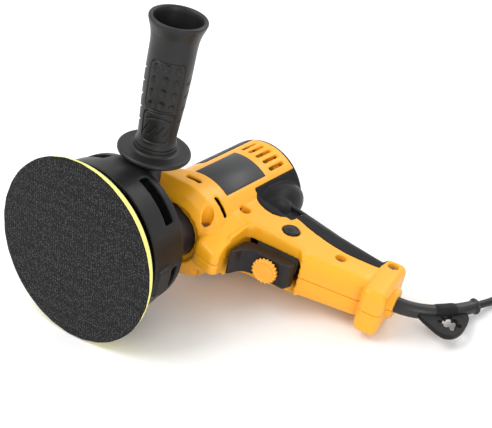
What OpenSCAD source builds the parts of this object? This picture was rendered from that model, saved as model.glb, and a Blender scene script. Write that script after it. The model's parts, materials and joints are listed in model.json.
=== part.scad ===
/* [Pad] */
// Diameter of the hook face of the pad
pad_d = 150; // [130:1:178]
// Thickness of the hook sheet
hook_t = 1.2; // [0.8:0.1:2]
// Thickness of the foam under the hook sheet
foam_t = 9; // [6:0.5:12]
// How much smaller the foam's back radius is than its front radius
foam_draft = 5.5; // [2:0.5:9]
// Diameter of the rigid backing plate
plate_d = 132; // [116:1:140]
// Thickness of the rigid backing plate
plate_t = 3.5; // [2.5:0.5:5]
// Diameter of the spindle nose thread
nose_d = 14; // [10:1:16]

/* [Shroud] */
// Radius of the shroud's front edge
shroud_front_r = 65; // [60:0.5:72]
// Radius of the shroud's rear edge
shroud_rear_r = 60.5; // [54:0.5:66]
// Distance from the pad's face to the shroud's front edge
shroud_front_y = 19; // [17:0.5:22]
// Distance from the pad's face to the shroud's rear face
shroud_rear_y = 57; // [54:0.5:60]
// Wall of the shroud
shroud_wall = 2.5; // [2:0.25:3.5]
// Number of air slots round the shroud
slot_count = 5; // [3:1:8]
// Length of one air slot, as an angle
slot_angle = 38; // [20:1:40]

/* [Gear case] */
// Distance between the spindle axis and the motor axis
gear_centres = 28.5; // [28.5:0.5:33]
// Teeth of the pinion cut on the armature shaft
pinion_teeth = 9; // [8:1:11]
// Teeth of the drive gear
gear_teeth = 45; // [40:1:50]
// Width of the drive gear
gear_w = 10; // [8:0.5:11]
// Radius of the gear case neck that carries the shroud
neck_r = 21.5; // [20.5:0.5:23]

/* [Motor housing] */
// Outer radius of the motor barrel
barrel_r = 41; // [40.5:0.5:48]
// Distance from the pad's face to the end of the rear cap
tool_len = 206; // [204:1:245]
// Wall of the plastic shells
shell_wall = 2.5; // [2:0.25:3]
// Radius of the armature core
core_r = 18.9; // [16:0.1:20]
// Outer radius of the field laminations
stator_r = 29.5; // [28:0.5:30]

/* [Grip] */
// Distance from the spindle axis to the middle of the butt's end face
grip_reach = 195; // [182:1:230]
// Backward lean of the grip's lower end
grip_rake = 12; // [8:1:16]
// Half width of the grip's upper part
grip_half_w = 19.5; // [18:0.5:23]
// Travel of the trigger
trigger_travel = 6; // [4:0.5:7]
// Diameter of the speed dial
dial_d = 21.5; // [18:0.5:22]
// Diameter of the lock-on button
lock_d = 14; // [11:0.5:15]
// Travel of the lock-on button
lock_travel = 4; // [3:0.5:5]

/* [Side handle] */
// Distance from the pad's face to the side handle's axis
handle_y = 77.8; // [76:0.2:79]
// Height of the hand flange's middle above the spindle axis
flange_z = 63.5; // [62:0.5:70]
// Radius of the hand flange
flange_r = 29; // [25:0.5:32]
// Length of the handle's grip above the flange
handle_len = 113; // [95:1:135]
// Radius of the handle's open end
handle_mouth_r = 21.9; // [20:0.1:25]
// Diameter of the handle's stud
stud_d = 8; // [6:1:10]

/* [Cord] */
// Diameter of the mains cord
cord_d = 6.2; // [5.5:0.1:7]
// Length of the strain relief
boot_len = 62; // [50:1:70]
// Radius of the strain relief at its root
boot_r = 6.4; // [5.5:0.1:7.5]

/* [Hidden] */
$fn = 64;
eps = 0.01;
run_gap = 0.05;
part_gap = 0.3;

// The tool frame: the spindle lies on y, with the pad's face at y = 0 and the motor behind it.
// The grip points along +x and the side handle along +z, which is the tool's left.
pad_r = pad_d / 2;
plate_r = plate_d / 2;
foam_y = hook_t;
plate_y = foam_y + foam_t;
hub_y = plate_y + plate_t;
hub_r = 15;
hub_len = 13;
nose_r = nose_d / 2;
nose_y = hub_y + 0.5;
shoulder_y = hub_y + hub_len + 0.7;
shoulder_t = 4;
shaft_r = 7.5;

// Gear train
gear_module = 2 * gear_centres / (pinion_teeth + gear_teeth);
gear_pitch_r = gear_module * gear_teeth / 2;
pinion_pitch_r = gear_module * pinion_teeth / 2;
gear_tip_r = gear_pitch_r + 0.7 * gear_module;
pinion_tip_r = pinion_pitch_r + 1.0 * gear_module;
case_y = 70;
case_wall = 2.5;
case_len = 18;
plate2_y = case_y + case_len;
plate2_t = 9;
gear_y = plate2_y - 2 - gear_w;
case_in_r = gear_tip_r + 0.9;
case_r = case_in_r + 5.4;
case_screw_at = case_in_r + 2.7;
case_end_r = 20;
case_end_in_r = pinion_tip_r + 3;
gear_seat_r = 6;
spindle_end_r = 4;
motor_shaft_r = 4;
small_bearing_r = 11;
small_bearing_w = 7;
front_bearing_r = 17.5;
front_bearing_w = 11;
front_bearing_y = 47;
neck_y = 44;

// Motor
fan_y = plate2_y + plate2_t + 4;
fan_w = 9;
fan_r = barrel_r - 7;
core_y = 120;
core_len = 40;
winding_len = 7;
comm_y = core_y + core_len + 10;
comm_len = 14;
comm_r = 12;
rear_rib_y = tool_len - 18.5;
bearing2_y = rear_rib_y + 0.5;
barrel_in_r = barrel_r - shell_wall;
air_gap = 0.6;
stator_in_r = core_r + air_gap;

// Housing
front_y = 83;
lip_y = 85.5;
ridge_y = 93;
nose_side_r = 38.5;
pocket_r = 25.3;
cap_round = 4;
cap_seam_y = tool_len - 3.5;
cap_side_y = 148;
cap_back_y = 136;
cap_front_angle = 50;
cap_back_angle = 118;
barrel_y = 97;
blend_len = 21;

// Grip
grip_top_x = 74;
grip_mid_x = 130;
grip_low_x = 170;
grip_back_y = 174.5;
butt_len = 20;
butt_depth = 56;
butt_half_w = grip_half_w + 0.5;
butt_round = 6;
butt_mid = [grip_reach - butt_len / 2 * cos(grip_rake), 150.5, 0];
exit_collar = 4;
grip_axis = [cos(grip_rake), sin(grip_rake), 0];
pull_axis = [-sin(grip_rake), cos(grip_rake), 0];

// Trigger and switch
trigger_half_w = 10.5;
stem_at = [104, 113.5, 0];
stem_r = 3;
stem_len = 17;
switch_y = 13.4;
switch_w = 36;
switch_depth = 21;
switch_half_w = 9;
dial_at = [106.5, 104.6, 0];
dial_t = 4;
lock_at = [102.5, 136.5];
lock_top = grip_half_w + 4;
lock_boss_r = lock_d / 2 + 3.2;

// Side handle
boss_r = 9;
boss_top = flange_z - 9.5;
stud_r = stud_d / 2;
mouth_z = flange_z + handle_len;

// The lower rear corner of the butt, where its rounded edge meets the table.
function butt_corner(side, along, across) =
  butt_mid + along * (butt_len / 2 - butt_round) * grip_axis
  + across * (butt_depth / 2 - butt_round) * pull_axis
  + [0, 0, side * (butt_half_w - butt_round)];
rest_corner = butt_corner(-1, 1, 1);

// The direction that points up when the tool lies on its pad's rim, its butt and its rear cap.
function settle(w, n) =
  let (
    s = sqrt(1 - w.y * w.y),
    wy = ((barrel_r - cap_round - pad_r) * s + cap_round - gear_centres * w.x)
      / (tool_len - cap_round - hook_t),
    wx = (butt_round - pad_r * s + (hook_t - rest_corner.y) * wy - rest_corner.z * w.z)
      / rest_corner.x
  )
  n == 0 ? [wx, wy, sqrt(1 - wx * wx - wy * wy)]
    : settle([wx, wy, sqrt(1 - wx * wx - wy * wy)], n - 1);
up = settle([0, 0, 1], 30);
lie_x = atan2(up.y, up.z);
lie_y = atan2(-up.x, sqrt(up.y * up.y + up.z * up.z));
lie_z = atan2(sin(lie_x) * sin(lie_y), cos(lie_x));

function turn_x(p, a) = [p.x, p.y * cos(a) - p.z * sin(a), p.y * sin(a) + p.z * cos(a)];
function turn_y(p, a) = [p.x * cos(a) + p.z * sin(a), p.y, p.z * cos(a) - p.x * sin(a)];
function turn_z(p, a) = [p.x * cos(a) - p.y * sin(a), p.x * sin(a) + p.y * cos(a), p.z];
function turned(p) = turn_z(turn_y(turn_x(p, lie_x), lie_y), lie_z);

// The lying tool's box is centred over the origin, and its lowest point is at z = 0.
box_right = max(turned(butt_corner(1, 1, -1)).x, turned(butt_corner(1, 1, 1)).x) + butt_round;
box_front = pad_r * up.y;
box_rear = turned([gear_centres, tool_len - cap_round, barrel_r - cap_round]).y + cap_round;
pad_drop = pad_r * sqrt(1 - up.y * up.y) - hook_t * up.y;
lie_shift = [(pad_r - box_right) / 2, -(box_rear + box_front) / 2, pad_drop];
function placed(p) = turned(p) + lie_shift;

module lie() {
  translate(lie_shift)
    rotate([lie_x, lie_y, lie_z])
      children();
}

// Turns a shape drawn along z so that it lies along y, at x and starting at y.
module along_y(x, y) {
  translate([x, y, 0])
    rotate([-90, 0, 0])
      children();
}

module rod_y(x, y, r, len) {
  along_y(x, y)
    cylinder(r = r, h = len);
}

module tube_y(x, y, r, bore, len) {
  along_y(x, y)
    difference() {
      cylinder(r = r, h = len);
      translate([0, 0, -1])
        cylinder(r = bore, h = len + 2);
    }
}

// A prism round two circles, one at the spindle axis and one at the motor axis.
module oblong_y(y, len, r1, r2) {
  tuck = 0.03;
  a = acos((r1 - r2) / gear_centres);
  along_y(0, y) {
    cylinder(r = r1, h = len);
    translate([gear_centres, 0, 0])
      cylinder(r = r2, h = len);
    linear_extrude(len)
      polygon([for (q = [[0, r1, 1], [gear_centres, r2, 1], [gear_centres, r2, -1], [0, r1, -1]])
        [q[0] + (q[1] - tuck) * cos(a), q[2] * (q[1] - tuck) * sin(a)]]);
  }
}

// A wedge about the motor axis, from angle a to angle b, along y.
module wedge_y(y, len, a, b, r) {
  steps = 4;
  along_y(gear_centres, y)
    linear_extrude(len)
      polygon(concat([[0, 0]], [for (k = [0:steps]) let (t = a + (b - a) * k / steps)
        [r * cos(t), -r * sin(t)]]));
}

// A round puck lying flat in the tool's side plane, with rounded edges.
module puck(x, y, r, half, edge) {
  steps = 4;
  arc = [for (k = [0:steps]) let (a = 90 * k / steps)
    [r - edge + edge * cos(a), half - edge + edge * sin(a)]];
  translate([x, y, 0])
    rotate_extrude($fn = 24)
      polygon(concat([[0, -half]], [for (k = [0:steps]) [arc[steps - k].x, -arc[steps - k].y]],
        arc, [[0, half]]));
}

// Keeps the half of its children on one side of the parting plane.
module half_of(side) {
  intersection() {
    children();
    translate([-200, -50, side > 0 ? 0 : -200])
      cube([600, 400, 200]);
  }
}

module grip_slice(x, front, back, half) {
  puck(x, front + 13, 13, half, min(half, 12) * 0.8);
  puck(x, back - 16, 16, half, min(half, 12) * 0.9);
}

// ---- Pad and spindle ----

module hook_face() lie() {
  color("#3a3b3d")
    rod_y(0, 0, pad_r, hook_t);
}

module foam_pad() lie() {
  color("#f6f68c")
    along_y(0, foam_y)
      cylinder(r1 = pad_r - 0.4, r2 = pad_r - foam_draft, h = foam_t);
}

module backing_plate() lie() {
  color("#2b2b2d")
    along_y(0, plate_y)
      difference() {
        union() {
          cylinder(r1 = plate_r, r2 = plate_r - 1.5, h = plate_t);
          cylinder(r = hub_r, h = plate_t + hub_len);
          for (k = [0:7])
            rotate(k * 45)
              translate([hub_r - 1, -1.25, plate_t - eps])
                cube([plate_r - hub_r - 14, 2.5, 3]);
        }
        translate([0, 0, plate_t])
          cylinder(r = nose_r + run_gap, h = hub_len + 1);
      }
}

module spindle() lie() {
  color("#b9bcc0") {
    rod_y(0, nose_y, nose_r, shoulder_y - nose_y + 1);
    along_y(0, shoulder_y)
      intersection() {
        cylinder(r = 12, h = shoulder_t);
        translate([-9.5, -20, 0])
          cube([19, 40, shoulder_t]);
      }
    rod_y(0, shoulder_y + shoulder_t - eps, shaft_r, case_y - shoulder_y - shoulder_t);
    rod_y(0, case_y - 1, gear_seat_r, plate2_y - case_y);
    rod_y(0, plate2_y - 1.5, spindle_end_r, small_bearing_w + 1);
  }
}

// A ball bearing's closed outline, with the recess between its rings on each face.
module bearing(x, y, r, bore, w) {
  groove = (r + bore) / 2;
  along_y(x, y)
    difference() {
      cylinder(r = r, h = w);
      translate([0, 0, -1])
        cylinder(r = bore, h = w + 2);
      for (z = [-1, w - 0.6])
        translate([0, 0, z])
          difference() {
            cylinder(r = groove + (r - bore) * 0.22, h = 1.6);
            translate([0, 0, -1])
              cylinder(r = groove - (r - bore) * 0.22, h = 4);
          }
    }
}

module front_bearing() lie() {
  color("#c4c6c8")
    bearing(0, front_bearing_y, front_bearing_r, shaft_r + run_gap, front_bearing_w);
}

module rear_bearing() lie() {
  color("#c4c6c8")
    bearing(0, plate2_y, small_bearing_r, spindle_end_r + run_gap, small_bearing_w);
}

// One gear outline: teeth of trapezoid form with a rounded-off tip width.
module gear_outline(teeth, root, tip, pitch_r, half_at_root, half_at_pitch, half_at_tip) {
  step = 360 / teeth;
  polygon([for (k = [0:teeth - 1]) for (q = [
    [root, -half_at_root], [pitch_r, -half_at_pitch], [tip, -half_at_tip],
    [tip, half_at_tip], [pitch_r, half_at_pitch], [root, half_at_root]
  ]) let (a = k * step + q.y * step) [q.x * cos(a), q.x * sin(a)]]);
}

module drive_gear() lie() {
  color("#9a9da1")
    along_y(0, gear_y)
      difference() {
        linear_extrude(gear_w)
          gear_outline(gear_teeth, gear_pitch_r - 1.3 * gear_module, gear_tip_r, gear_pitch_r,
            0.31, 0.215, 0.12);
        translate([0, 0, -1])
          cylinder(r = gear_seat_r, h = gear_w + 2);
        for (z = [-1, gear_w - 1.5])
          translate([0, 0, z])
            difference() {
              cylinder(r = gear_pitch_r - 4, h = 2.5);
              translate([0, 0, -1])
                cylinder(r = 11, h = 5);
            }
      }
}

module gear_case() lie() {
  color("#232325")
    difference() {
      union() {
        rod_y(0, neck_y, neck_r, case_y - neck_y + 1);
        oblong_y(case_y, case_len, case_r, case_end_r);
        translate([0, handle_y, case_r - 4])
          cylinder(r = boss_r, h = boss_top - case_r + 4);
      }
      rod_y(0, neck_y - 1, front_bearing_r - 3, front_bearing_y - neck_y + 2);
      rod_y(0, front_bearing_y, front_bearing_r, front_bearing_w);
      rod_y(0, front_bearing_y + 1, shaft_r + 3, case_y);
      oblong_y(case_y + case_wall, case_len, case_in_r, case_end_in_r);
      translate([0, handle_y, boss_top - 24])
        cylinder(r = stud_r, h = 30);
      for (q = case_screw_places)
        translate([q.x, 0, q.y])
          rod_y(0, plate2_y - 12, 1.6, 13);
    }
}

// The places of the gear case screws, as [x, z].
case_screw_places = concat(
  [for (a = [110, 180, 250]) [case_screw_at * cos(a), case_screw_at * sin(a)]],
  [[gear_centres + 15, 0]]
);

module gear_case_screws() lie() {
  color("#8d9094")
    for (q = case_screw_places)
      translate([q.x, 0, q.y]) {
        rod_y(0, plate2_y - 11, 1.55, 11 + plate2_t);
        along_y(0, plate2_y + plate2_t)
          difference() {
            cylinder(r = 2.8, h = 1.8);
            translate([-2.2, -0.4, 1])
              cube([4.4, 0.8, 2]);
            translate([-0.4, -2.2, 1])
              cube([0.8, 4.4, 2]);
          }
      }
}

module bearing_plate() lie() {
  color("#a3a6aa")
    difference() {
      oblong_y(plate2_y, plate2_t, case_r + 1.5, case_end_r + 1.5);
      rod_y(0, plate2_y - 1, small_bearing_r, small_bearing_w + 1);
      rod_y(0, plate2_y, small_bearing_r - 3, plate2_t + 1);
      rod_y(gear_centres, plate2_y + 2, small_bearing_r, small_bearing_w + 1);
      rod_y(gear_centres, plate2_y - 1, small_bearing_r - 3, 5);
      for (q = case_screw_places)
        translate([q.x, 0, q.y])
          rod_y(0, plate2_y - 1, 1.6, plate2_t + 2);
    }
}

// ---- Motor ----

module armature_shaft() lie() {
  color("#b4b7bb") {
    along_y(gear_centres, gear_y)
      rotate(180 - 180 / pinion_teeth)
        linear_extrude(gear_w + 0.5)
          gear_outline(pinion_teeth, pinion_pitch_r - 0.95 * gear_module, pinion_tip_r,
            pinion_pitch_r, 0.27, 0.2, 0.07);
    rod_y(gear_centres, gear_y + gear_w, motor_shaft_r, bearing2_y + small_bearing_w - gear_y - gear_w);
  }
}

module motor_front_bearing() lie() {
  color("#c4c6c8")
    bearing(gear_centres, plate2_y + 2, small_bearing_r, motor_shaft_r + run_gap, small_bearing_w);
}

module motor_rear_bearing() lie() {
  color("#c4c6c8")
    bearing(gear_centres, bearing2_y, small_bearing_r, motor_shaft_r + run_gap, small_bearing_w);
}

// The armature core has a straight winding slot between its teeth.
module armature_core() lie() {
  slots = 12;
  color("#7c8084")
    along_y(gear_centres, core_y)
      difference() {
        cylinder(r = core_r, h = core_len);
        translate([0, 0, -1])
          cylinder(r = motor_shaft_r, h = core_len + 2);
        for (k = [0:slots - 1])
          rotate(k * 360 / slots)
            translate([core_r - 5, -0.9, -1])
              cube([8, 1.8, core_len + 2]);
      }
}

module armature_windings() lie() {
  color("#b3672c")
    for (y = [core_y - winding_len, core_y + core_len])
      along_y(gear_centres, y)
        difference() {
          cylinder(r = core_r - 2, h = winding_len);
          translate([0, 0, -1])
            cylinder(r = motor_shaft_r, h = winding_len + 2);
        }
}

module commutator() lie() {
  bars = 24;
  color("#b87333")
    along_y(gear_centres, comm_y)
      difference() {
        union() {
          cylinder(r = comm_r, h = comm_len);
          cylinder(r = comm_r + 1.5, h = 2);
        }
        translate([0, 0, -1])
          cylinder(r = motor_shaft_r, h = comm_len + 2);
        for (k = [0:bars - 1])
          rotate(k * 360 / bars)
            translate([comm_r - 1, -0.2, 2])
              cube([3, 0.4, comm_len]);
      }
}

module cooling_fan() lie() {
  blades = 11;
  color("#8f9296")
    along_y(gear_centres, fan_y)
      difference() {
        union() {
          cylinder(r = fan_r, h = 1.8);
          cylinder(r = 8, h = fan_w);
          for (k = [0:blades - 1])
            rotate(k * 360 / blades)
              translate([13, 0, 0])
                rotate(28)
                  cube([fan_r - 15.5, 1.2, fan_w]);
        }
        translate([0, 0, -1])
          cylinder(r = motor_shaft_r, h = fan_w + 2);
      }
}

module stator_core() lie() {
  color("#6f7377")
    along_y(gear_centres, core_y)
      difference() {
        intersection() {
          cylinder(r = stator_r, h = core_len);
          translate([-stator_r, 3 - stator_r, -1])
            cube([2 * stator_r, 2 * stator_r - 6, core_len + 2]);
        }
        translate([0, 0, -1])
          cylinder(r = stator_in_r, h = core_len + 2);
        for (side = [-1, 1])
          translate([side * (stator_in_r + 1.5) - 4, -11, -1])
            cube([8, 22, core_len + 2]);
      }
}

module field_coils() lie() {
  color("#a85f28")
    for (side = [-1, 1])
      along_y(gear_centres, core_y - 5)
        intersection() {
          difference() {
            cylinder(r = stator_in_r + 5.2, h = core_len + 10);
            translate([0, 0, -1])
              cylinder(r = stator_in_r, h = core_len + 12);
          }
          translate([side * (stator_in_r + 1.5) - 3.8, -10.8, 0])
            cube([7.6, 21.6, core_len + 10]);
        }
}

brush_w = 6.4;
brush_t = 8;
brush_y = comm_y + comm_len / 2 - brush_t / 2 + 0.5;
holder_in = comm_r + 2;
holder_out = barrel_in_r - 2.4;

module brush_holders() lie() {
  color("#c9a24a")
    for (side = [0, 1])
      along_y(gear_centres, brush_y - 1.2)
        rotate(side * 180)
          difference() {
            translate([holder_in, -brush_w / 2 - 1.2, 0])
              cube([holder_out - holder_in, brush_w + 2.4, brush_t + 2.4]);
            translate([holder_in - 1, -brush_w / 2, 1.2])
              cube([holder_out - holder_in - 0.2, brush_w, brush_t]);
          }
}

module carbon_brushes() lie() {
  color("#2f3133")
    for (side = [0, 1])
      along_y(gear_centres, brush_y)
        rotate(side * 180)
          difference() {
            translate([comm_r - 0.6, -brush_w / 2, 0])
              cube([12, brush_w, brush_t]);
            translate([0, 0, -1])
              cylinder(r = comm_r + 0.15, h = brush_t + 2);
          }
}

module brush_springs() lie() {
  spring_len = holder_out - 1.2 - (comm_r + 11.4);
  color("#9fa3a7")
    for (side = [0, 1])
      along_y(gear_centres, brush_y + brush_t / 2)
        rotate(side * 180)
          translate([comm_r + 11.4, 0, 0])
            rotate([0, 90, 0])
              difference() {
                cylinder(r = 2.4, h = spring_len);
                translate([0, 0, -1])
                  cylinder(r = 1.5, h = spring_len + 2);
              }
}

// ---- Housing ----

// The gear head's oblong shoulder.
module shoulder(side) {
  hull()
    half_of(side) {
      rod_y(0, front_y, nose_side_r - 8, 1);
      rod_y(0, ridge_y, nose_side_r, 5);
      rod_y(gear_centres, front_y, pocket_r + 1.6, 1);
      rod_y(gear_centres, front_y + 3.5, barrel_r - 7.5, 1);
      rod_y(gear_centres, ridge_y, barrel_r, barrel_y - ridge_y);
      rod_y(gear_centres, barrel_y, barrel_r - 0.6, blend_len);
    }
}

module barrel() {
  along_y(gear_centres, 0)
    rotate_extrude()
      difference() {
        translate([0, barrel_y])
          square([barrel_r, tool_len - barrel_y]);
        translate([barrel_r - cap_round, tool_len - cap_round])
          difference() {
            square(cap_round + 1);
            circle(cap_round);
          }
      }
}

// The block in front of the trigger.
module nose_block(side) {
  hull()
    half_of(side) {
      puck(62, 82, 8, 13, 7);
      puck(74, 79, 6.5, 11, 5);
      puck(58, 116, 12, 25, 9);
      puck(74, 116, 10, 21, 8);
    }
}

module grip_upper(side) {
  hull()
    half_of(side) {
      grip_slice(54, 108, grip_back_y, grip_half_w + 6);
      grip_slice(grip_top_x, 108, grip_back_y, grip_half_w + 2.5);
      grip_slice(grip_mid_x, 117.5, grip_back_y, grip_half_w);
    }
}

module grip_lower(side) {
  hull()
    half_of(side) {
      grip_slice(grip_mid_x, 117.5, grip_back_y, grip_half_w);
      grip_slice(grip_low_x - 13, 128.5, grip_back_y + 1, grip_half_w - 1.5);
      grip_slice(grip_low_x, 129, grip_back_y + 1, grip_half_w - 1.5);
    }
}

module butt(side) {
  translate(butt_mid)
    rotate([0, 0, grip_rake]) {
      hull()
        half_of(side)
          for (along = [-1, 1], across = [-1, 1])
            translate([along * (butt_len / 2 - butt_round),
              across * (butt_depth / 2 - butt_round), side * (butt_half_w - butt_round)]) {
              sphere(r = butt_round, $fn = 24);
              translate([0, 0, side > 0 ? -butt_half_w : 0])
                cylinder(r = butt_round, h = butt_half_w, $fn = 24);
            }
      half_of(side)
        translate([butt_len / 2 - 1, 0, 0])
          rotate([0, 90, 0])
            cylinder(r = boot_r + 6, h = exit_collar + 1);
    }
}

module lock_boss() {
  translate([lock_at.x, lock_at.y, 0])
    cylinder(r1 = lock_boss_r + 1, r2 = lock_boss_r - 1, h = lock_top - 1.8);
}

module shell_solid(side) {
  shoulder(side);
  half_of(side)
    barrel();
  nose_block(side);
  grip_upper(side);
  grip_lower(side);
  butt(side);
}

// The part of the barrel's wall and of the grip's back that the black mouldings take.
module cap_zone() {
  rod_y(gear_centres, cap_seam_y, barrel_r + 20, 20);
  difference() {
    wedge_y(cap_side_y, tool_len, -cap_front_angle, cap_front_angle, barrel_r + 30);
    translate([gear_centres, 0, -grip_half_w + 0.2])
      cube([barrel_r + 40, grip_back_y + 1.5, 2 * grip_half_w - 0.4]);
  }
  wedge_y(cap_back_y, tool_len, cap_back_angle, 360 - cap_back_angle, barrel_r + 30);
}

module strap_zone(half) {
  translate([0, 0, -half])
    linear_extrude(2 * half)
      polygon([
        [gear_centres + barrel_r + 2.5, 162], [grip_low_x + 3, 170],
        [grip_low_x + 3, 190], [gear_centres + barrel_r + 2.5, 190]
      ]);
}

module trigger_cut() {
  translate([0, 0, -60])
    linear_extrude(120)
      polygon([
        [82.5, 40], [82.5, 70], [79.2, 79], [77.4, 86], [77, 100], [77.6, 111], [82, 115.8],
        [122, 122.8], [127.3, 118.3], [128.5, 113], [128.5, 40]
      ]);
  translate([0, 0, -trigger_half_w - 0.5])
    linear_extrude(2 * trigger_half_w + 1)
      polygon([[77, 90], [76.5, 127.5], [127.5, 128.5], [128.5, 110]]);
}

module grip_cavity(half) {
  translate([0, 0, -half])
    linear_extrude(2 * half)
      polygon([
        [60, 120], [74, 124], [128, 128], [134, 123.5], [160, 131.5], [grip_low_x - 2, 133.5],
        [grip_low_x - 2, 166], [74, 158], [60, 158]
      ]);
  translate(butt_mid)
    rotate([0, 0, grip_rake]) {
      translate([-butt_len, -14, -12])
        cube([butt_len * 1.5 - 4, 28, 24]);
      rotate([0, 90, 0])
        cylinder(r = boot_r - 1.4, h = 40);
      translate([butt_len / 2 - 3, 0, 0])
        rotate([0, 90, 0])
          cylinder(r = boot_r + 2, h = 1.6);
    }
}

// Housing screws, as [x, y] in the side plane, with the height of each head's seat.
shell_screws = [
  [53, 90.2, 15], [64, 125, 17], [147.5, 143, 12], [181, 168, 14], [-20, 103.4, 18]
];
// The two screws that cross a hollow run in bosses, each with its height.
screw_bosses = [[shell_screws[1], 21.5], [shell_screws[2], 17]];
screw_r = 1.95;
screw_head_r = 3.6;
screw_head_t = 2.6;

module motor_cavity() {
  along_y(gear_centres, fan_y - 1)
    cylinder(r = barrel_in_r, h = rear_rib_y - fan_y + 1);
  along_y(gear_centres, plate2_y + plate2_t)
    cylinder(r = barrel_in_r - 1, h = 10);
  rod_y(gear_centres, rear_rib_y + 8.5, barrel_in_r, cap_seam_y - shell_wall - rear_rib_y - 8.5);
  oblong_y(plate2_y, plate2_t, case_r + 1.5, case_end_r + 1.5);
  oblong_y(plate2_y + plate2_t - eps, 2.5, case_r + 1.5, barrel_in_r - 6);
  oblong_y(front_y - 20, lip_y - front_y + 30, case_r + 0.1, case_end_r + 0.1);
  rod_y(gear_centres, front_y - 30, pocket_r, lip_y - front_y + 30);
  rod_y(gear_centres, rear_rib_y - 1, motor_shaft_r + 3, 16);
  rod_y(gear_centres, bearing2_y, small_bearing_r, small_bearing_w);
  translate([0, handle_y, 20])
    cylinder(r = boss_r + 0.3, h = 60);
}

// The ribs that hold the field laminations inside the barrel.
module stator_ribs() {
  for (y = [core_y, core_y + core_len - 4])
    along_y(gear_centres, y)
      difference() {
        cylinder(r = barrel_in_r + 0.5, h = 4);
        translate([0, 0, -1])
          intersection() {
            cylinder(r = stator_r, h = 6);
            translate([-stator_r, 3 - stator_r, -1])
              cube([2 * stator_r, 2 * stator_r - 6, 8]);
          }
      }
}

// Slots over the fan, as [from, to] angles, and inlet slots beside the commutator.
fan_slots = [[36, 62], [86, 108]];
fan_slot_w = 4;
inlet_w = 3;
inlet_count = 5;
inlet_step = 11;

module vents() {
  for (slot = fan_slots)
    intersection() {
      tube_y(gear_centres, fan_y + 1, barrel_r + 5, barrel_in_r - 3, fan_slot_w);
      wedge_y(fan_y - 1, fan_slot_w + 4, slot[0], slot[1], barrel_r + 20);
    }
  for (k = [0:inlet_count - 1])
    along_y(gear_centres, cap_seam_y - 27)
      rotate(-(cap_front_angle + 12 + k * inlet_step))
        translate([barrel_in_r - 4, -inlet_w / 2, 0])
          cube([20, inlet_w, 20]);
}

module shell_half(side) {
  difference() {
    union() {
      shell_solid(side);
      if (side > 0)
        lock_boss();
    }
    motor_cavity();
    grip_cavity(grip_half_w - 3);
    trigger_cut();
    cap_zone();
    strap_zone(60);
    mirror([0, 0, side > 0 ? 0 : 1])
      vents();
    screw_holes(side);
    if (side > 0)
      translate([lock_at.x, lock_at.y, 0])
        cylinder(r = lock_d / 2 + 0.3, h = 60);
    label_recess(side);
  }
  half_of(side)
    difference() {
      union() {
        stator_ribs();
        for (b = screw_bosses)
          translate([b[0].x, b[0].y, -b[1]])
            cylinder(r = 5.4, h = 2 * b[1]);
      }
      cap_zone();
      screw_holes(side);
    }
}

// The screws enter from the left, and the right half holds their tips.
module screw_holes(side) {
  for (q = shell_screws)
    translate([q.x, q.y, 0]) {
      translate([0, 0, -60])
        cylinder(r = screw_r, h = 120, $fn = 24);
      translate([0, 0, side > 0 ? q.z : -q.z - 60])
        cylinder(r = side > 0 ? 4.4 : 2.6, h = 60, $fn = 32);
    }
}

label_t = 0.5;

module label_recess(side) {
  intersection() {
    tube_y(gear_centres, 115, barrel_r + 5, barrel_r - label_t, 52);
    mirror([0, 0, side > 0 ? 0 : 1])
      wedge_y(115, 52, 57, 107, barrel_r + 20);
  }
}

module left_housing() lie() {
  color("#f2b434")
    shell_half(1);
}

module right_housing() lie() {
  color("#f2b434")
    shell_half(-1);
}

module housing_screws() lie() {
  color("#7f8286")
    for (q = shell_screws)
      translate([q.x, q.y, 0])
        difference() {
          union() {
            translate([0, 0, -q.z + 0.4])
              cylinder(r = screw_r - 0.02, h = 2 * q.z - 0.3, $fn = 24);
            translate([0, 0, q.z])
              cylinder(r = screw_head_r, h = screw_head_t, $fn = 32);
          }
          for (a = [0, 90])
            translate([0, 0, q.z + screw_head_t])
              rotate(a)
                cube([4.4, 0.9, 3], center = true);
        }
}

module label_plates() lie() {
  color("#515255")
    for (side = [0, 1])
      mirror([0, 0, side])
        intersection() {
          tube_y(gear_centres, 115.3, barrel_r + 0.1, barrel_r - label_t, 51.4);
          wedge_y(115, 52, 57.3, 106.7, barrel_r + 20);
        }
}

module rear_cap() lie() {
  color("#2a282c")
    difference() {
      intersection() {
        barrel();
        cap_zone();
      }
      rod_y(gear_centres, 40, barrel_in_r, cap_seam_y - 40);
      for (k = [-2:2])
        translate([gear_centres - 14, tool_len - 1.5, k * 6 - 1])
          cube([28, 4, 2]);
    }
}

module grip_backstrap() lie() {
  color("#2c2a2d")
    difference() {
      intersection() {
        union()
          for (side = [-1, 1]) {
            grip_upper(side);
            grip_lower(side);
          }
        strap_zone(60);
      }
      rod_y(gear_centres, 140, barrel_r + part_gap, 80);
    }
}

// ---- Shroud ----

// The solid lug inside the skirt, on the grip's side.
lug_angle = -3;
lug_w = 22;
lug_len = 15;
first_slot_angle = 54;

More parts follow.
